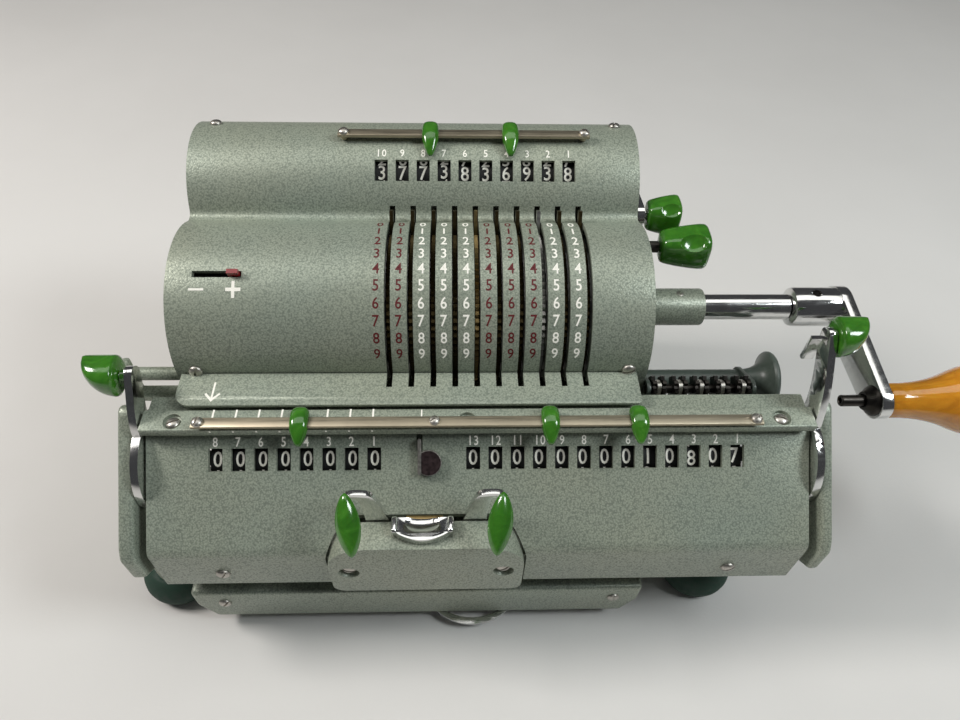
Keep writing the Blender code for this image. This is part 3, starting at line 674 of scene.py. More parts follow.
def numerals(name, entries, spot, body, material, narrow=0.86):
    """One mesh of many numerals (text, height, x, where). spot maps (x, where, up, lift) to a point."""
    bm = bmesh.new()
    for text, height, x, where in entries:
        points, faces = glyph(text)
        verts = [bm.verts.new(spot(x + px * height * narrow, where, py * height, lift))
                 for px, py, lift in points]
        for face in faces:
            bm.faces.new([verts[i] for i in face])
    bmesh.ops.recalc_face_normals(bm, faces=bm.faces)
    return show(to_object(name, bm), name, body, material)


def column_number(number, height, x, where):
    """Entries for the figures of a column's number, centred on x."""
    text = str(number)
    return [(figure, height, x + FIGURE_STEP * (i - (len(text) - 1) / 2), where)
            for i, figure in enumerate(text)]


def on_round(centre_y, centre_z, radius):
    """Maps numerals to a round surface, with their tops towards its back. where is the angle from +Y."""
    def spot(x, where, up, lift):
        a = math.radians(where) - up / radius
        r = radius + (lift - 0.4) * INK
        return place(x, centre_y + r * math.cos(a), centre_z + r * math.sin(a))
    return spot


def slope_spot(x, where, up, lift):
    return on_slope(x, where, 0) @ (Vector((0, up, (lift - 0.4) * INK)) * MM)


# ---------------------------------------------------------------- housing

def slot_x(column):
    """X of setting slot 1 to 10, counted from the right."""
    return FIRST_SLOT_X - PITCH * (column - 1)


def counter_x(k):
    return FIRST_COUNTER_X - PITCH * k


def result_x(k):
    return FIRST_RESULT_X + PITCH * k


def housing_profile(inset, foot_z, step=2.0):
    """Side outline of the housing, inset from its outer face: drum, waist, bulge and back wall."""
    big = DRUM_R - inset
    small = BULGE_R - inset
    fillet = WAIST_FILLET + inset
    across = math.hypot(BULGE_Y - DRUM_Y, BULGE_Z - DRUM_Z)
    lean = math.atan2(BULGE_Z - DRUM_Z, BULGE_Y - DRUM_Y)
    to_fillet = big + fillet
    from_bulge = small + fillet
    swing = math.acos((across ** 2 + to_fillet ** 2 - from_bulge ** 2) / (2 * across * to_fillet))
    waist = math.degrees(lean + swing)
    fy = DRUM_Y + to_fillet * math.cos(lean + swing)
    fz = DRUM_Z + to_fillet * math.sin(lean + swing)
    rise = math.degrees(math.atan2(fz - BULGE_Z, fy - BULGE_Y))
    outline = [(DRUM_Y - big, foot_z)]
    outline += arc(DRUM_Y, DRUM_Z, big, 180, waist, step)
    outline += arc(fy, fz, fillet, waist + 180, rise + 180, 4 * step)[1:-1]
    outline += arc(BULGE_Y, BULGE_Z, small, rise, 0, step)
    outline.append((BULGE_Y + small, foot_z))
    return outline


def window_box():
    half_w = WINDOW_W / 2
    half_l = WINDOW_L / 2
    return [(-half_w, -half_l), (half_w, -half_l), (half_w, half_l), (-half_w, half_l)]


def make_housing():
    outer = prism("outer", [housing_profile(0, HOUSING_FOOT_Z)], along("X", -HOUSING_X), 2 * HOUSING_X)
    outer = rounded(outer, 3.0, 5)
    hollow = prism("hollow", [housing_profile(WALL, HOUSING_FOOT_Z - 5)],
                   along("X", WALL - HOUSING_X), 2 * (HOUSING_X - WALL))
    inner_x = HOUSING_X - WALL
    front = block("front_opening", (-inner_x, inner_x), (-40, -20), (HOUSING_FOOT_Z - 5, FRONT_LIP_Z))
    slots = [prism("slot", [circle(DRUM_Y, DRUM_Z, SWEEP_R, 72)], along("X", slot_x(k) - SLOT_W / 2), SLOT_W)
             for k in COLUMNS]
    lean = Matrix.Rotation(math.radians(TOP_WINDOW_ANGLE), 4, "X")
    upright = Matrix(((1, 0, 0), (0, 0, 1), (0, -1, 0))).to_4x4()
    windows = []
    for k in COLUMNS:
        matrix = Matrix.Translation(place(slot_x(k) - PITCH / 2, BULGE_Y, BULGE_Z)) @ lean @ upright
        windows.append(prism("window", [window_box()], matrix @ Matrix.Translation((0, 0, 18 * MM)), 10))
    sign = prism("sign", [radial_bar(SIGN_ANGLE, 24, 34, 2.1)], along("X", -67.6), 15.1)
    bearing = turned("bearing_hole", chamfered_bar(5.5, 10), axle(HOUSING_X - 5, DRUM_Y, DRUM_Z), 32)
    cover = cut(outer, hollow, front, gang("slots", slots), gang("windows", windows), sign, bearing)
    show(cover, "housing_shell", "base", ENAMEL, ["main_cover"], 25)
    apron = prism("apron", [rounded_box(-74, 72, APRON_FRONT, -29.8, (5, 1.5, 0.1, 0.1))],
                  along("Z", APRON_Z), 1.1)
    apron = rounded(apron, 0.35, 3, 60)
    slots = [block("slot", (slot_x(k) - SLOT_W / 2, slot_x(k) + SLOT_W / 2), (-35.4, -29), (87, 93))
             for k in COLUMNS]
    show(cut(apron, gang("apron_slots", slots)), "apron", "base", ENAMEL, ["apron_plate"])


COLUMN_INK = (GLOWING_IVORY, GLOWING_IVORY, RED_INK, RED_INK, RED_INK, GLOWING_IVORY, GLOWING_IVORY, GLOWING_IVORY, RED_INK, RED_INK)


def make_housing_numerals():
    drum = on_round(DRUM_Y, DRUM_Z, DRUM_R)
    for ink, name in ((GLOWING_IVORY, "drum_numerals_white"), (RED_INK, "drum_numerals_red")):
        entries = [(str(d), 3.7, slot_x(k) - PITCH / 2, 180 - ZERO_ANGLE + SETTING_STEP * d)
                   for k in COLUMNS if COLUMN_INK[k - 1] is ink for d in range(10)]
        numerals(name, entries, drum, "base", ink)
    marks = [("_", 7.0, -66.0, 180 - SIGN_ANGLE + 9.5), ("+", 7.6, -54.8, 180 - SIGN_ANGLE + 9.5)]
    numerals("sign_marks", marks, drum, "base", GLOWING_IVORY)
    bulge = on_round(BULGE_Y, BULGE_Z, BULGE_R)
    entries = []
    for k in COLUMNS:
        entries += column_number(k, 2.8, slot_x(k) - PITCH / 2, TOP_WINDOW_ANGLE - 15.0)
    numerals("window_numbers", entries, bulge, "base", GLOWING_IVORY, 0.8)


# ---------------------------------------------------------------- number wheels

RESULT_SHOWN = (0, 0, 0, 0, 0, 0, 0, 0, 1, 0, 8, 0, 7)
INPUT_SHOWN = (8, 3, 9, 6, 3, 8, 3, 7, 7, 3)


def make_wheels(name, node, body, wheels, span, axis, radius, rest):
    """Number wheels side by side on one shaft. wheels are (x, digit shown, degrees that it sits low)."""
    x0, x1 = span
    profile = [(0, x1 - x0), (2.5, x1 - x0)]
    half = WINDOW_W / 2 + 0.25
    for x, _, _ in sorted(wheels, reverse=True):
        middle = x - x0
        profile += [(2.5, middle + half), (radius - 0.7, middle + half), (radius, middle + half - 0.25),
                    (radius, middle - half + 0.25), (radius - 0.7, middle - half), (2.5, middle - half)]
    profile += [(2.5, 0), (0, 0)]
    show(turned(name, profile, axle(x0, *axis), 60), name, body, BLACK, [node])
    entries = [(str(d), 4.9, x, rest + low + 36 * (d - shown)) for x, shown, low in wheels for d in range(10)]
    numerals(name + "_digits", entries, on_round(*axis, radius), body, GLOWING_IVORY)


def make_registers():
    counter = [(counter_x(k), 0, 0) for k in range(DIGITS_COUNTER)]
    result = [(result_x(k), shown, 4.5 if shown == 8 else 0) for k, shown in enumerate(RESULT_SHOWN)]
    inputs = [(slot_x(k) - PITCH / 2, INPUT_SHOWN[k - 1],
               5 + (3.0, 1.0, 2.0, 1.5, 4.0, 3.0, -2.0, 1.5, 1.5, 1.0)[k - 1])
              for k in COLUMNS]
    axis = (REGISTER_Y, REGISTER_Z)
    make_wheels("counter_wheels", "counter_dials", "counter_register", counter, (-80, -6), axis, DIAL_R,
                125.0)
    make_wheels("result_wheels", "result_dials", "result_register", result, (10, 122), axis, DIAL_R, 125.0)
    make_wheels("input_wheels", "input_dials", "input_register", inputs, (-72, 72), (INPUT_Y, INPUT_Z),
                INPUT_R, 121.2)


# ---------------------------------------------------------------- carriage

def cover_side(inset, foot_z):
    """Side outline of the carriage cover from its foot, up the front and the slope to its top edge."""
    out = Vector((COVER_KNEE_Z - COVER_TOP_Z, COVER_TOP_Y - COVER_FRONT)).normalized()
    knee = Vector((COVER_FRONT + inset, COVER_KNEE_Z - inset * 0.36))
    radius = 5.0 - inset
    bend = arc(knee.x + radius, knee.y - radius * math.tan(math.radians(25)), radius, 180, 130, 5)
    top = Vector((COVER_TOP_Y, COVER_TOP_Z)) - out * inset + Vector((out.y, -out.x)) * COVER_TUCK
    return [(COVER_FRONT + inset, foot_z)] + bend + [(top.x, top.y)]


def make_carriage_cover():
    outer = cover_side(0, COVER_FOOT_Z)
    inner = cover_side(COVER_WALL, COVER_FOOT_Z)
    shell = prism("shell", [outer + inner[::-1]], along("X", COVER_LEFT), COVER_RIGHT - COVER_LEFT)
    shell = rounded(shell, 0.45, 3, 50)
    centres = [counter_x(k) for k in range(DIGITS_COUNTER)] + [result_x(k) for k in range(DIGITS_RESULT)]
    windows = gang("windows", [prism("window", [window_box()], on_slope(x, WINDOW_DOWN, -3),
                                     6) for x in centres])
    arch = rounded_box(BLOCK_LEFT - 0.9, BLOCK_RIGHT + 0.9, COVER_FOOT_Z - 5, BLOCK_TOP + 1,
                       (0.1, 0.1, 13.9, 13.9), 6)
    bay = prism("bay", [arch], along("Y", COVER_FRONT - 5), BAY_BACK - COVER_FRONT + 5)
    notch = prism("notch", [rounded_box(-0.95, 0.95, -2.6, 2.6, (0.3, 0.3, 0.3, 0.3), 45)],
                  on_slope(1.8, 1.7, -3), 6)
    show(cut(shell, windows, bay, notch), "carriage_shell", "carriage", ENAMEL, ["carriage_cover"], 25)


def make_rail_plate():
    side = [(-50.6, 86.6), (-46.8, 86.6), (-46.8, 82.4), (-44.8, 82.4), (-44.8, 85.7), (-36.0, 85.7),
            (-36.0, 87.2),
            (-42.9, 87.2), (-42.9, RAIL_TOP), (-50.6, RAIL_TOP)]
    plate = rounded(prism("plate", [side], along("X", COVER_LEFT), COVER_RIGHT - COVER_LEFT), 0.4, 3)
    wells = [turned("well", chamfered_bar(RAIL_SCREW_R + 0.7, 2.0, 0.1), spot_at(x, RAIL_SCREW_Y, 88.2), 32)
             for x in RAIL_SCREW_X]
    show(cut(plate, *wells), "rail_plate", "carriage", ENAMEL, ["carriage_rail_plate"])
    for x0, x1, node in ((-91.0, -86.0, "end_plate_left"), (129.1, 133.1, "end_plate_right")):
        outline = [(-50, 40), (-71, 40), (-78.5, 47), (-78.5, 58.5), (-75.8, 62.4), (-49, 85), (-43.5, 89.5),
                   (-40, 89.5), (-40, 64), (-50, 58)]
        plate = rounded(prism("plate", [outline], along("X", x0), x1 - x0), 1.5, 4, 12)
        show(plate, node + "_casting", "carriage", ENAMEL, [node], 40)


def make_carriage_marks():
    """Column numbers above the windows, and a tick on the rail plate at each counter window."""
    entries = [(str(k + 1), 3.0, counter_x(k), LABEL_DOWN) for k in range(DIGITS_COUNTER)]
    for k in range(DIGITS_RESULT):
        entries += column_number(DIGITS_RESULT - k, 3.0, result_x(k), LABEL_DOWN)
    numerals("carriage_numbers", entries, slope_spot, "carriage", GLOWING_IVORY, 0.8)
    ticks = []
    for k in range(DIGITS_COUNTER):
        x = counter_x(k)
        ticks.append(block("tick", (x - 0.28, x + 0.28), (-47.5, -42.95), (RAIL_TOP - 0.02, RAIL_TOP + INK)))
        ticks.append(block("tick", (x - 0.28, x + 0.28), (-50.65, -50.3), (88.3, 89.1)))
    ticks.append(block("tick", (2.4, 2.8), (-47.5, -43.3), (RAIL_TOP - 0.02, RAIL_TOP + INK)))
    show(gang("ticks", ticks), "rail_ticks", "carriage", GLOWING_IVORY)
    arrow = [(-0.3, 7.6), (0.3, 7.6), (0.3, 1.5), (2.0, 3.4), (2.5, 2.95), (0, 0), (-2.5, 2.95), (-2.0, 3.4),
             (-0.3, 1.5)]
    pointer = prism("arrow", [[(x - 62.6, y - 40.9) for x, y in arrow]], along("Z", APRON_Z + 1.08),
                    0.02 + INK)
    show(pointer, "shift_arrow", "base", GLOWING_IVORY)


# ---------------------------------------------------------------- shift block, keys and latch

def make_shift_block():
    outline = rounded_box(BLOCK_LEFT, BLOCK_RIGHT, BLOCK_FOOT, BLOCK_TOP, (4, 4, 13, 13), 6)
    body = prism("body", [outline], along("Y", BLOCK_FRONT), BLOCK_BACK - BLOCK_FRONT)
    body = rounded(body, 1.3, 4, 50)
    well = [(0, 3.0), (4.1, 3.0), (3.3, 1.7), (3.1, 0), (0, 0)]
    wells = [turned("well", well, facing(x, BLOCK_FRONT + 1.9, BLOCK_SCREW_Z, (0, -1, 0)), 36)
             for x in BLOCK_SCREW_X]
    show(cut(body, *wells), "shift_block_casting", "carriage", ENAMEL, ["shift_block"])
    catch = rounded(block("catch", (-2.4, 9.2), (-69.6, -68.1), (60, 67.6)), 0.3, 2)
    show(catch, "latch_catch", "carriage", BRASS)


def make_shift_keys():
    """A bent plated strip with a ribbed almond paddle on each side."""
    for side, node, body, x in ((-1, "shift_lever_left", "left_shift_key", -18.25),
                                (1, "shift_lever_right", "right_shift_key", 26.1)):
        shape = [(-10.9, 66.6), (-9.6, 72), (-8.0, 78), (-6.9, 81.2), (-5.4, 83.1), (-3.2, 83.7),
                 (-0.2, 83.6),
                 (1.4, 82.7), (0.8, 81.7), (-1.0, 81.5), (-2.2, 80.0),
                 (-2.9, 76.5), (-3.3, 71.5), (-3.4, 66.6)]
        outline = flowing([(x + side * a, b) for a, b in shape], 4, sharp=(0, 13))
        strip = prism("strip", [outline], along("Y", BLOCK_BACK + 0.35), 1.7)
        show(rounded(strip, 0.4, 3, 50), node + "_strip", body, CHROME, [node], 50)
        stations = []
        for i in range(25):
            t = i / 24
            swell = math.sin(math.pi * t)
            stations.append((9.5 * (2 * t - 1), side * 1.0 * (2 * t - 1), 0, 0.15 + 3.6 * swell ** 0.66,
                             0.15 + 2.35 * swell ** 0.6, 1.5))
        paddle = loft("paddle", stations,
                      on_slope(x, 23.8, 15.9) @ Matrix.Rotation(math.radians(-90), 4, "X"), 32)
        show(paddle, node + "_paddle", body, GREEN, [node + "_tip"], 50)


def make_latch():
    """The thumb scoop on the block: a shallow curved lip, a dished floor, and an upright ear at each end."""
    foot = BLOCK_TOP + 0.35
    lip = arc(LATCH_X, -64.1, 13.9, 230, 310, 3) + arc(LATCH_X, -64.1, 12.8, 309, 231, 3)
    wall = rounded(prism("wall", [lip], along("Z", foot), 2.9), 0.5, 3, 50)
    floor_outline = arc(LATCH_X, -64.1, 13.6, 232, 308, 3) + [(LATCH_X + 7.9, -70.1), (LATCH_X - 7.9, -70.1)]
    floor = prism("floor", [floor_outline], along("Z", foot), 2.2)
    dish = turned("dish", bowl(10.5, 9.5, (90, 75, 60, 45, 30, 15, 0)),
                  spot_at(LATCH_X, -71.8, foot + 0.7) @ Matrix.Diagonal((1, 0.62, 1, 1)), 48)
    ears = []
    for side in (-1, 1):
        x = LATCH_X + side * 8.6
        ear = rounded(block("ear", (x - 1.0, x + 1.0), (-75.4, -69.9), (foot, foot + 3.3)), 0.85, 4)
        ears.append(ear)
    show(unite(cut(floor, dish), wall, *ears), "thumb_scoop", "carriage_latch", CHROME, ["thumb_latch"], 50)


def make_mode_lever():
    """A bright strip along the flat side of a D-shaped thumb plate, whose face is blued."""
    stem = rounded(prism("stem", [rounded_box(-3.4, -2.3, -3.6, 7.6, (0.4, 0.4, 0.5, 0.5), 20)],
                         on_slope(4.7, 7.8, 0.5), 2.0), 0.3, 3, 50)
    plate = rounded(prism("plate", [arc(0, 0, 4.0, -131, 131, 5)], on_slope(4.7, 7.8, 0.5), 1.7), 0.25, 3, 50)
    show(unite(stem, plate), "mode_thumb_lever", "mode_selector", SCREW_STEEL, ["mode_lever"], 40)
    face = prism("face", [arc(0, 0, 3.75, -129, 129, 5)], on_slope(4.7, 7.8, 2.21), 0.12)
    show(face, "mode_lever_face", "mode_selector", BLUED)


# ---------------------------------------------------------------- knobs, riders and levers

def bow_knob(name, x0, x1, y, z, depth, height, rise, body, node):
    """A moulded knob whose outer end runs out to an edge: its underside sweeps up towards its tip."""
    stations = []
    for i in range(25):
        t = i / 24
        start = min(1.0, t / 0.12)
        shoulder = 0.82 + 0.18 * math.sqrt(1 - (1 - start) ** 2)
        point = math.sqrt(max(0.0, 1 - t ** 2.6))
        top = height / 2 * shoulder - 0.9 * (1 - point)
        bottom = -height / 2 * shoulder + rise * t ** 2.2
        half = max(0.4, (top - bottom) / 2)
        reach = max(0.5, depth / 2 * shoulder * point ** 0.9)
        stations.append((t * abs(x1 - x0), 0.6 * (depth / 2 - reach) * t, (top + bottom) / 2, reach,
                         half, 2.5))
    turn = Matrix(((0, 0, math.copysign(1, x1 - x0)), (1, 0, 0), (0, 1, 0))).to_4x4()
    knob = loft("knob", stations, spot_at(x0, y, z) @ turn, 40)
    return show(rounded(knob, 0.35, 3, 40), name, body, GREEN, [node], 45)


def pad_knob(name, x0, x1, y, z, depth, height, body, node):
    """A moulded knob like a rounded brick, wider at its free end, with a thumb hollow in its upper front."""
    length = x1 - x0
    stations = []
    for t, scale in ((0, 0.62), (0.05, 0.72), (0.3, 0.84), (0.6, 0.94), (0.85, 1.0), (0.95, 0.97),
                     (1.0, 0.88)):
        stations.append((t * length, 0, 0, depth / 2 * scale, height / 2 * scale, 3.4))
    turn = Matrix(((0, 0, 1), (1, 0, 0), (0, 1, 0))).to_4x4()
    knob = smoothed(loft("knob", stations, spot_at(x0, y, z) @ turn, 32), 1)
    lean = (0, -0.64, 0.77)
    bottom = facing(x0 + 0.58 * length, y + 5.4 * lean[1], z + 5.4 * lean[2], lean)
    dish = turned("dish", bowl(depth * 0.36, 2.2, (90, 70, 50, 30, 15, 0)), bottom, 40)
    return show(cut(knob, dish), name, body, GREEN, [node], 45)


def make_side_knobs():
    bow_knob("left_reset_grip", -88.0, -98.3, -37.5, 99.8, 12, 12, 9.0, "left_reset", "reset_lever_left_knob")
    bow_knob("right_reset_grip", 129.3, 138.8, -31.6, 109.9, 12, 12, 8.0, "right_reset",
             "reset_lever_right_knob")
    pad_knob("clearing_grip", 79.6, 91, 22.8, 113.1, 11.2, 13.4, "input_clear", "clear_lever_knob")
    pad_knob("transfer_grip", 82.5, 99, 9.7, 110.2, 13, 14, "back_transfer", "transfer_lever_knob")


def make_reset_levers():
    """Plated plates: a round sector about the register shaft and a curved arm up to the knob."""
    for node, body, span, tip, stem, side in (
            ("reset_lever_left", "left_reset", (-85.6, -83.2), (-37.5, 99.8), (-87.7, -85.0), -1),
            ("reset_lever_right", "right_reset", (126.3, 128.7), (-31.6, 109.9), (128.0, 129.0), 1)):
        thick = span[1] - span[0]
        lean = Vector((tip[0] - REGISTER_Y, tip[1] - REGISTER_Z))
        ahead = Vector((-lean.y, lean.x)).normalized()
        front = []
        back = []
        for t, bow, half in ((0.3, 1.6, 4.6), (0.45, 3.2, 4.4), (0.6, 3.4, 4.2), (0.75, 2.4, 4.0),
                             (0.9, 0.8, 3.7)):
            middle = Vector((REGISTER_Y, REGISTER_Z)) + lean * t + ahead * bow
            front.append(tuple(middle + ahead * half))
            back.append(tuple(middle - ahead * half))
        crown = [tuple(Vector(tip) + ahead * 2.6 + lean.normalized() * 1.8),
                 tuple(Vector(tip) + lean.normalized() * 3.2),
                 tuple(Vector(tip) - ahead * 2.9 + lean.normalized() * 1.2)]
        arm = prism("arm", [flowing(front + crown + back[::-1], 5)], along("X", span[0] + 0.05), thick - 0.1)
        sector = prism("sector", [circle(REGISTER_Y, REGISTER_Z, RESET_R - 0.1, 90)],
                       along("X", span[0]), thick)
        pieces = [sector, turned("stem", chamfered_bar(2.0, stem[1] - stem[0]), axle(stem[0], *tip), 24)]
        if side > 0:
            pieces.append(block("tab", (span[0] - 3.2, span[0] + 0.6), (tip[0] + 0.6, tip[0] + 2.0),
                                (tip[1] - 11, tip[1] - 1.5)))
        lever = rounded(unite(arm, *pieces), 0.35, 3, 50)
        show(lever, node + "_plate", body, CHROME, [node], 40)


RIDER_SECTIONS = ((-1.0, 0.5, -2.6, -1.6), (-0.93, 1.0, -2.7, -0.9), (-0.82, 1.5, -2.6, -0.1),
                  (-0.64, 2.1, -2.3, 1.2), (-0.46, 2.6, -1.9, 2.3), (-0.28, 2.85, -1.5, 3.0),
                  (-0.05, 2.9, -1.2, 3.4), (0.25, 2.9, -1.2, 3.5), (0.45, 2.85, -1.2, 3.3),
                  (0.6, 2.5, -1.2, 2.8), (0.7, 1.9, -1.1, 2.2), (0.75, 1.0, -0.8, 1.4))


def make_rider(name, body, node, x, y, bar_z, reach):
    """A pointer that clips round a marker bar: a blunt back, and a nose that droops towards the digits."""
    stations = []
    for at, half, low, high in RIDER_SECTIONS:
        along_bar = at * (reach if at < 0 else 7.0)
        stations.append((along_bar, 0, (low + high) / 2, half, (high - low) / 2, 2.6))
    turn = Matrix(((1, 0, 0), (0, 0, 1), (0, 1, 0))).to_4x4()
    pod = smoothed(loft("pod", stations, spot_at(x, y, bar_z) @ turn, 24), 1)
    channel = block("channel", (x - 5, x + 5), (y - 2.1, y + 2.1), (bar_z - 0.3, bar_z + 1.5))
    show(cut(pod, channel), name, body, GREEN, [node], 50)


def make_riders():
    for side, x, body in (("left", 5.0, "top_marker_a"), ("right", 31.9, "top_marker_b")):
        make_rider("top_rider_" + side, body, "top_marker_" + side, x, TOP_BAR_Y, TOP_BAR_Z, 8.4)
    for side, x, body in (("left", -34.1, "carriage_marker_a"), ("middle", 42.1, "carriage_marker_b"),
                          ("right", 69.5, "carriage_marker_c")):
        make_rider("carriage_rider_" + side, body, "carriage_marker_" + side, x, CARRIAGE_BAR_Y,
                   CARRIAGE_BAR_Z, 6.7)


# ---------------------------------------------------------------- crank

def outward_lean():
    """Shear that carries the crank arm outwards the further it reaches in front of the drum axis."""
    lean = Matrix.Identity(4)
    lean[0][1] = -ARM_LEAN
    lean[0][3] = ARM_LEAN * place(0, DRUM_Y, 0).y
    return lean


def make_crank():
    length = HUB_LEFT - 0.3 - 72.8
    shaft = [(0, length), (4.2, length), (4.5, length - 0.3), (4.5, 0.3), (4.2, 0), (0, 0)]
    show(turned("shaft", shaft, axle(72.8, DRUM_Y, DRUM_Z), 64), "crank_axle", "rotor", CHROME,
         ["crank_shaft"])
    sleeve = [(5.9, 23.8), (6.3, 23.6), (6.5, 23.1), (6.5, 0), (4.8, 0), (4.8, 23.4), (5.1, 23.8)]
    sleeve = turned("sleeve", sleeve, axle(HOUSING_X + 0.3, DRUM_Y, DRUM_Z), 64)
    show(sleeve, "crank_bush", "base", ENAMEL, ["crank_bearing"])
    hub = [(0, 16.8), (6.9, 16.8), (6.9, 1.4), (6.6, 0.5), (5.7, 0), (0, 0)]
    hub = turned("hub", hub, axle(HUB_LEFT, DRUM_Y, DRUM_Z), 64)
    socket = turned("socket", chamfered_bar(1.7, 3, 0.1), facing(139.1, DRUM_Y, DRUM_Z + 5.6, (0, 0, 1)), 32)
    hub = cut(hub, socket)
    arm = prism("arm", [link_outline(DRUM_Y, DRUM_Z, 7.4, PIN_Y, PIN_Z, 6.0)], along("X", ARM_X), ARM_T)
    arm = rounded(arm, 0.5, 4, 50)
    arm.data.transform(outward_lean())
    bore = turned("bore", chamfered_bar(2.2, 10, 0.1), axle(ARM_X - 2, PIN_Y, PIN_Z), 32)
    show(cut(unite(arm, hub), bore), "crank_lever", "rotor", CHROME, ["crank_arm"], 35)
    ring = [(5.2, 3.6), (5.2, 2.9), (4.7, 2.1), (3.6, 1.0), (3.0, 0), (2.3, 0), (2.3, 3.6)]
    show(turned("boss", ring, axle(147.4, PIN_Y, PIN_Z), 48), "pin_bush", "rotor", DARK)
    grub = [(0, 0.9), (1.1, 0.9), (1.4, 0.5), (1.4, 0), (0, 0)]
    show(turned("grub", grub, facing(139.1, DRUM_Y, DRUM_Z + 5.65, (0, 0, 1)), 24), "hub_set_screw",
         "rotor", DARK)
    pin = [(0, 2.4), (1.0, 2.4), (1.0, 0.2), (1.2, 0), (1.7, 0), (1.9, 0.3), (1.9, 14.5), (0, 14.5)]
    show(turned("pin", pin[::-1], axle(PIN_LEFT, PIN_Y, PIN_Z), 40), "spring_pin", "crank_pin", DARK,
         ["lock_pin"])
    length = HANDLE_END_X - HANDLE_X
    grip = [(0, length)] + [(HANDLE_R * math.cos(math.radians(a)),
                             length - HANDLE_R * (1 - math.sin(math.radians(a))))
                            for a in range(80, -1, -10)]
    grip += [(HANDLE_R, 41), (13.0, 36.5), (12.6, 32), (11.9, 28), (11.0, 24.6), (9.9, 21.6),
             (8.7, 18.8), (7.7, 16),
             (6.95, 13), (6.4, 10), (6.05, 7), (5.85, 4), (5.75, 1), (5.3, 0), (0, 0)]
    grip = turned("grip", grip, axle(HANDLE_X, PIN_Y, PIN_Z), 64)
    show(grip, "crank_grip_body", "crank_grip", AMBER, ["crank_handle"], 50)


# -------------------------------------------------- setting rings, carry wheels, guides and base

def make_setting_rings():
    """Toothed setting rings just under the drum cover, each with its finger through its slot."""
    rest = 180 - FINGER_ANGLE
    finger = math.degrees(math.asin(1.5 / RING_R))
    tip = math.degrees(math.asin(1.2 / FINGER_R))
    teeth = 66
    for k in COLUMNS:
        outline = []
        for i in range(2 * teeth):
            a = rest + finger + (360 - 2 * finger) * i / (2 * teeth - 1)
            r = RING_R if i % 2 == 0 else RING_R - 0.9
            outline.append((DRUM_Y + r * math.cos(math.radians(a)), DRUM_Z + r * math.sin(math.radians(a))))
        outline += arc(DRUM_Y, DRUM_Z, FINGER_R, rest - tip, rest + tip, 2)
        hole = circle(DRUM_Y, DRUM_Z, RING_R - 5, 60)
        ring = prism("ring", [outline, hole], along("X", slot_x(k) - 0.6), 1.2)
        # Rings 3 and 6 keep bright steel and brass; the rest take brass darkened as painted shade in the
        # slots.
        material = STEEL if k == 3 else BRASS if k == 6 else SHADE_DARKENED_BRASS
        show(ring, "setting_ring_%d" % k, "digit_setter_%d" % k, material, ["setting_lever_%d" % k], 20)


def make_carry_wheels():
    """Each carry wheel is a pair of blackened toothed discs with a bright cam between them."""
    dark = [turned("shaft", chamfered_bar(1.5, 36.2, 0.2), axle(76.0, CARRY_Y, CARRY_Z), 24)]
    bright = []
    for k in range(5):
        x = 79.9 + PITCH * k
        for offset in (-2.2, 1.0):
            outline = []
            for i in range(48):
                a = 2 * math.pi * i / 48
                r = 4.4 if i % 6 < 3 else 3.3
                outline.append((CARRY_Y + r * math.cos(a), CARRY_Z + r * math.sin(a)))
            hole = circle(CARRY_Y, CARRY_Z, 1.55, 24)
            dark.append(prism("disc", [outline, hole], along("X", x + offset), 1.2))
        hole = circle(CARRY_Y, CARRY_Z, 1.6, 24)
        bright.append(prism("cam", [link_outline(CARRY_Y, CARRY_Z, 3.0, CARRY_Y - 0.8, CARRY_Z + 2.4,
                                                 1.5), hole],
                            along("X", x - 0.7), 1.3))
    show(gang("carry_discs", dark), "carry_discs", "carry_wheel_stack", DARK, ["carry_wheels"], 25)
    show(gang("carry_cams", bright), "carry_cams", "carry_wheel_stack", SCREW_STEEL)


def make_guides():
    length = 123.0 - HOUSING_X - 0.3
    profile = [(0, length), (8.6, length), (9.4, length - 0.25), (9.8, length - 0.9), (9.8, length - 1.6),
               (9.4, length - 2.2), (7.6, length - 3.0), (6.1, length - 4.0), (5.0, length - 5.4),
               (4.2, length - 7.2), (3.75, length - 9.5), (3.6, length - 12), (3.6, 0), (0, 0)]
    tube = turned("tube", profile, axle(HOUSING_X + 0.3, TUBE_Y, TUBE_Z), 64)
    arms = [rounded(prism("arm", [link_outline(TUBE_Y, TUBE_Z, 4.5, CARRY_Y, CARRY_Z, 3.0)],
                          along("X", x), 1.2), 0.2, 2)
            for x in (76.0, 111.0)]
    eye = turned("eye", chamfered_bar(1.8, 38, 0.1), axle(75, CARRY_Y, CARRY_Z), 24)
    show(cut(unite(tube, *arms), eye), "guide_tube", "base", DARK_ENAMEL_AND_SHADE, ["guide_tube_right"], 30)
    bracket = rounded(block("bracket", (-94.5, -92.0), (-29.5, -23), (74, 91.5)), 0.8, 3)
    bar = turned("bar", chamfered_bar(2.2, 17.05, 0.1), axle(-93, -26.5, 87.2), 48)
    shelf = rounded(block("shelf", (-93, -75.95), (-29, -24), (75.5, 78)), 0.4, 2)
    show(unite(bracket, bar, shelf), "guide_rod", "base", ENAMEL, ["guide_rod_left"], 30)


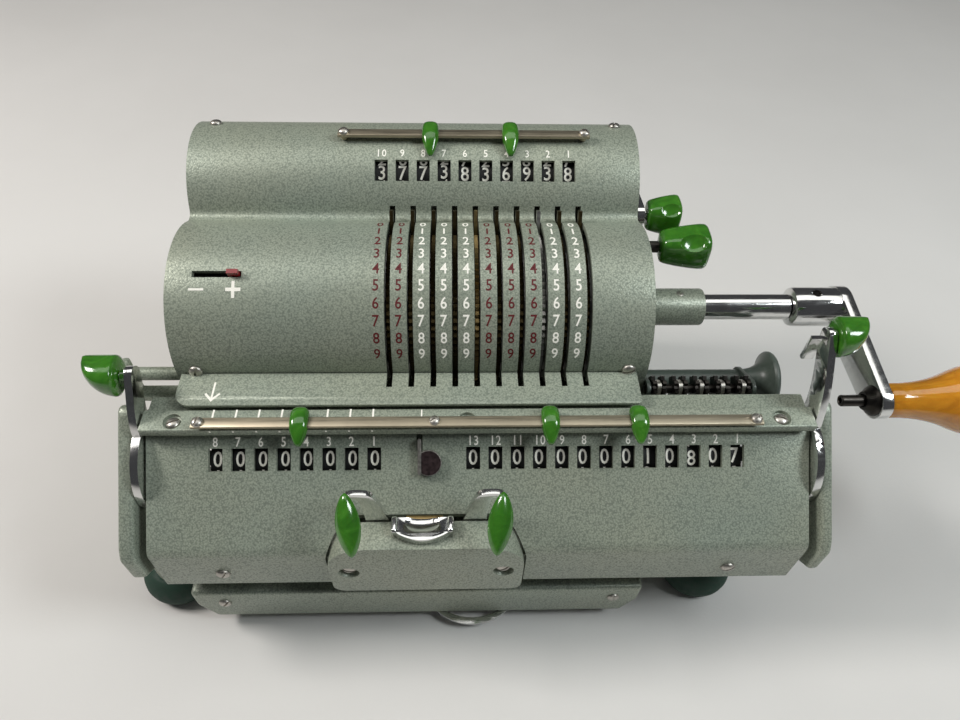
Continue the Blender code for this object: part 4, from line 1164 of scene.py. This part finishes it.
def make_base():
    front = [(-74.5, 5.8), (74.5, 5.8), (79.3, 16), (79.3, 25.9), (-79.3, 25.9), (-79.3, 16)]
    front = rounded(prism("front", [front], along("Y", -75.5), 7.2), 1.5, 4, 20)
    show(front, "front_rail_casting", "base", ENAMEL, ["front_rail"], 40)
    spots = {"front_left": (-92.0, -57.0), "front_right": (106.6, -57.0),
             "rear_left": (-60.0, 50.0), "rear_right": (60.0, 50.0)}
    profile = [(0, 14), (9, 14), (9.8, 13.6), (11.2, 12.2), (12.4, 10.4), (13.2, 8.2), (13.5, 6),
               (13.3, 4), (12.6, 2),
               (11.4, 0.6), (10, 0), (0, 0)]
    for name, (x, y) in spots.items():
        foot = turned("foot", profile, spot_at(x, y, 0), 64)
        show(foot, "rubber_foot_" + name, "base", RUBBER, ["foot_" + name], 60)
    lip = arc(19, -60, 19.5, 222, 318, 4) + arc(19, -57.5, 19.5, 316, 224, 4)
    show(rounded(prism("lip", [lip], along("Z", 3.4), 1.2), 0.3, 2), "front_finger_lip", "base", CHROME)


# ---------------------------------------------------------------- screws and bars

def screw(x, y, z, normal, r, turn, height=1.35):
    """A slotted screw with a low domed head that sits on a face, with a short shank behind it."""
    matrix = facing(x, y, z, normal) @ Matrix.Rotation(math.radians(turn), 4, "Z")
    dome = [(0, height)] + [(r * math.sin(math.radians(a)),
                             0.25 + (height - 0.25) * math.cos(math.radians(a)))
                            for a in (20, 40, 60, 75, 90)]
    head = turned("head", dome + [(r, 0), (r * 0.5, 0), (r * 0.5, -1.2), (0, -1.2)], matrix, 32)
    side = r * 0.15
    groove = prism("groove", [[(-r * 1.2, -side), (r * 1.2, -side), (r * 1.2, side), (-r * 1.2, side)]],
                   matrix @ Matrix.Translation((0, 0, (height - 0.8) * MM)), 1.2)
    return cut(head, groove)


def make_screws():
    housing = []
    for side, turn in ((-1, 20), (1, 70)):
        housing.append(screw(side * 69.3, *on_bulge(107.6), 2.0, turn))
        housing.append(screw(side * 69.3, *on_drum(2.5), 2.2, 90 - turn))
        housing.append(screw(side * 69.3 + 0.5, -75.4, 18.4, (0, -1, 0), 2.2, 30 + turn))
    housing.append(screw(91, 0, DRUM_Z + 6.3, (0, 0, 1), 1.2, 50, 0.5))
    show(gang("screws", housing), "housing_screws", "base", SCREW_STEEL, (), 40)
    top = [screw(-24.0, TOP_BAR_Y, TOP_BAR_Z + 1.15, (0, 0, 1), 1.8, 20),
           screw(57.0, TOP_BAR_Y, TOP_BAR_Z + 1.15, (0, 0, 1), 1.8, 140)]
    show(gang("screws", top), "top_bar_screws", "base", SCREW_STEEL, (), 40)
    moving = [screw(x, RAIL_SCREW_Y, 88.25, (0, 0, 1), RAIL_SCREW_R, turn) for x,
              turn in zip(RAIL_SCREW_X, (25, 60, -20))]
    moving += [screw(x, CARRIAGE_BAR_Y, CARRIAGE_BAR_Z + 1.15, (0, 0, 1), r, turn) for x, r,
               turn in ((-64.4, 1.8, 75), (6.7, 1.7, 30), (105.8, 1.8, 45))]
    moving += [screw(x, COVER_FRONT + 0.05, 46.5, (0, -1, 0), 2.3, turn) for x,
               turn in ((-62.3, 60), (103.2, 25))]
    moving += [screw(x, BLOCK_FRONT + 1.85, BLOCK_SCREW_Z, (0, -1, 0), 2.4, turn)
               for x, turn in zip(BLOCK_SCREW_X, (-15, 35))]
    show(gang("screws", moving), "carriage_screws", "carriage", SCREW_STEEL, (), 40)


def on_drum(angle):
    """Point and outward direction on the drum, angle in degrees up from the front."""
    out = (0, -math.cos(math.radians(angle)), math.sin(math.radians(angle)))
    return DRUM_Y + DRUM_R * out[1], DRUM_Z + DRUM_R * out[2], out


def on_bulge(angle):
    out = (0, -math.cos(math.radians(angle)), math.sin(math.radians(angle)))
    return BULGE_Y + BULGE_R * out[1], BULGE_Z + BULGE_R * out[2], out


def make_marker_bars():
    for name, node, body, x0, x1, y, z, posts in (
            ("top_strip", "top_marker_bar", "base", -26, 58.8, TOP_BAR_Y, TOP_BAR_Z, (-24, 56.8)),
            ("carriage_strip", "carriage_marker_bar", "carriage", -66.3, 107.9, CARRIAGE_BAR_Y,
             CARRIAGE_BAR_Z,
             (-64, 7.4, 105.6))):
        bar = rounded(block("bar", (x0, x1), (y - 1.8, y + 1.8), (z, z + 1.2)), 0.25, 2)
        pillars = [turned("post", chamfered_bar(1.2, 1.8, 0.1), spot_at(x, y + 0.3, z - 1.4), 24)
                   for x in posts]
        show(unite(bar, *pillars), name, body, STRIP, [node], 40)


# ---------------------------------------------------------------- light, floor and camera

def make_stage():
    bm = bmesh.new()
    bmesh.ops.create_grid(bm, x_segments=60, y_segments=60, size=1.6)
    rng = random.Random(4)
    for vert in bm.verts:
        vert.co.z = -0.0002 - rng.random() * 0.0001
    floor = to_object("floor", bm)
    floor.data.materials.append(floor_cloth())
    floor.data.shade_smooth()


def make_lights():
    world = bpy.data.worlds.new("studio")
    world.use_nodes = True
    world.node_tree.nodes["Background"].inputs["Color"].default_value = (0.93, 0.95, 1.0, 1)
    world.node_tree.nodes["Background"].inputs["Strength"].default_value = 0.06
    bpy.context.scene.world = world
    for name, spot, target, power, size, tint in (
            ("key", (-600, 40, 640), (0, 0, 60), 4.2, (0.2, 0.2), (1.0, 0.96, 0.93)),
            ("right", (560, -160, 660), (80, 0, 60), 3.0, (0.24, 0.24), (0.92, 0.98, 1.0)),
            ("overhead", (30, 120, 1050), (40, 0, 80), 3.3, (1.3, 0.5), (1.0, 1.0, 0.96))):
        light = bpy.data.lights.new(name, "AREA")
        light.energy = power
        light.shape = "RECTANGLE"
        light.size = size[0]
        light.size_y = size[1]
        light.color = tint
        lamp = link(name, light)
        lamp.location = place(*spot)
        lamp.rotation_euler = (place(*target) - lamp.location).to_track_quat("-Z", "Y").to_euler()


def make_camera():
    """The camera, and a plain colour transform that keeps the materials' own colours."""
    bpy.context.scene.view_settings.view_transform = "Standard"
    lens = bpy.data.cameras.new("camera")
    lens.lens = 27.04
    lens.sensor_width = 36
    camera = link("camera", lens)
    camera.location = place(13, -176.2, 272)
    camera.rotation_euler = (math.radians(40), math.radians(-1.39), math.radians(-1.43))
    bpy.context.scene.camera = camera


make_housing()
make_housing_numerals()
make_registers()
make_carriage_cover()
make_rail_plate()
make_carriage_marks()
make_shift_block()
make_shift_keys()
make_latch()
make_mode_lever()
make_side_knobs()
make_reset_levers()
make_riders()
make_crank()
make_setting_rings()
make_carry_wheels()
make_guides()
make_base()
make_screws()
make_marker_bars()
repaint(ENAMEL, "base_pan")
repaint(STEEL, "side_frame_left", "side_frame_right", "carriage_guide_rail", "rotor_drum")
repaint(CHROME, "clear_lever")
repaint(DARK, "transfer_lever")
repaint(RED, "sign_slider")

make_stage()
make_lights()
make_camera()
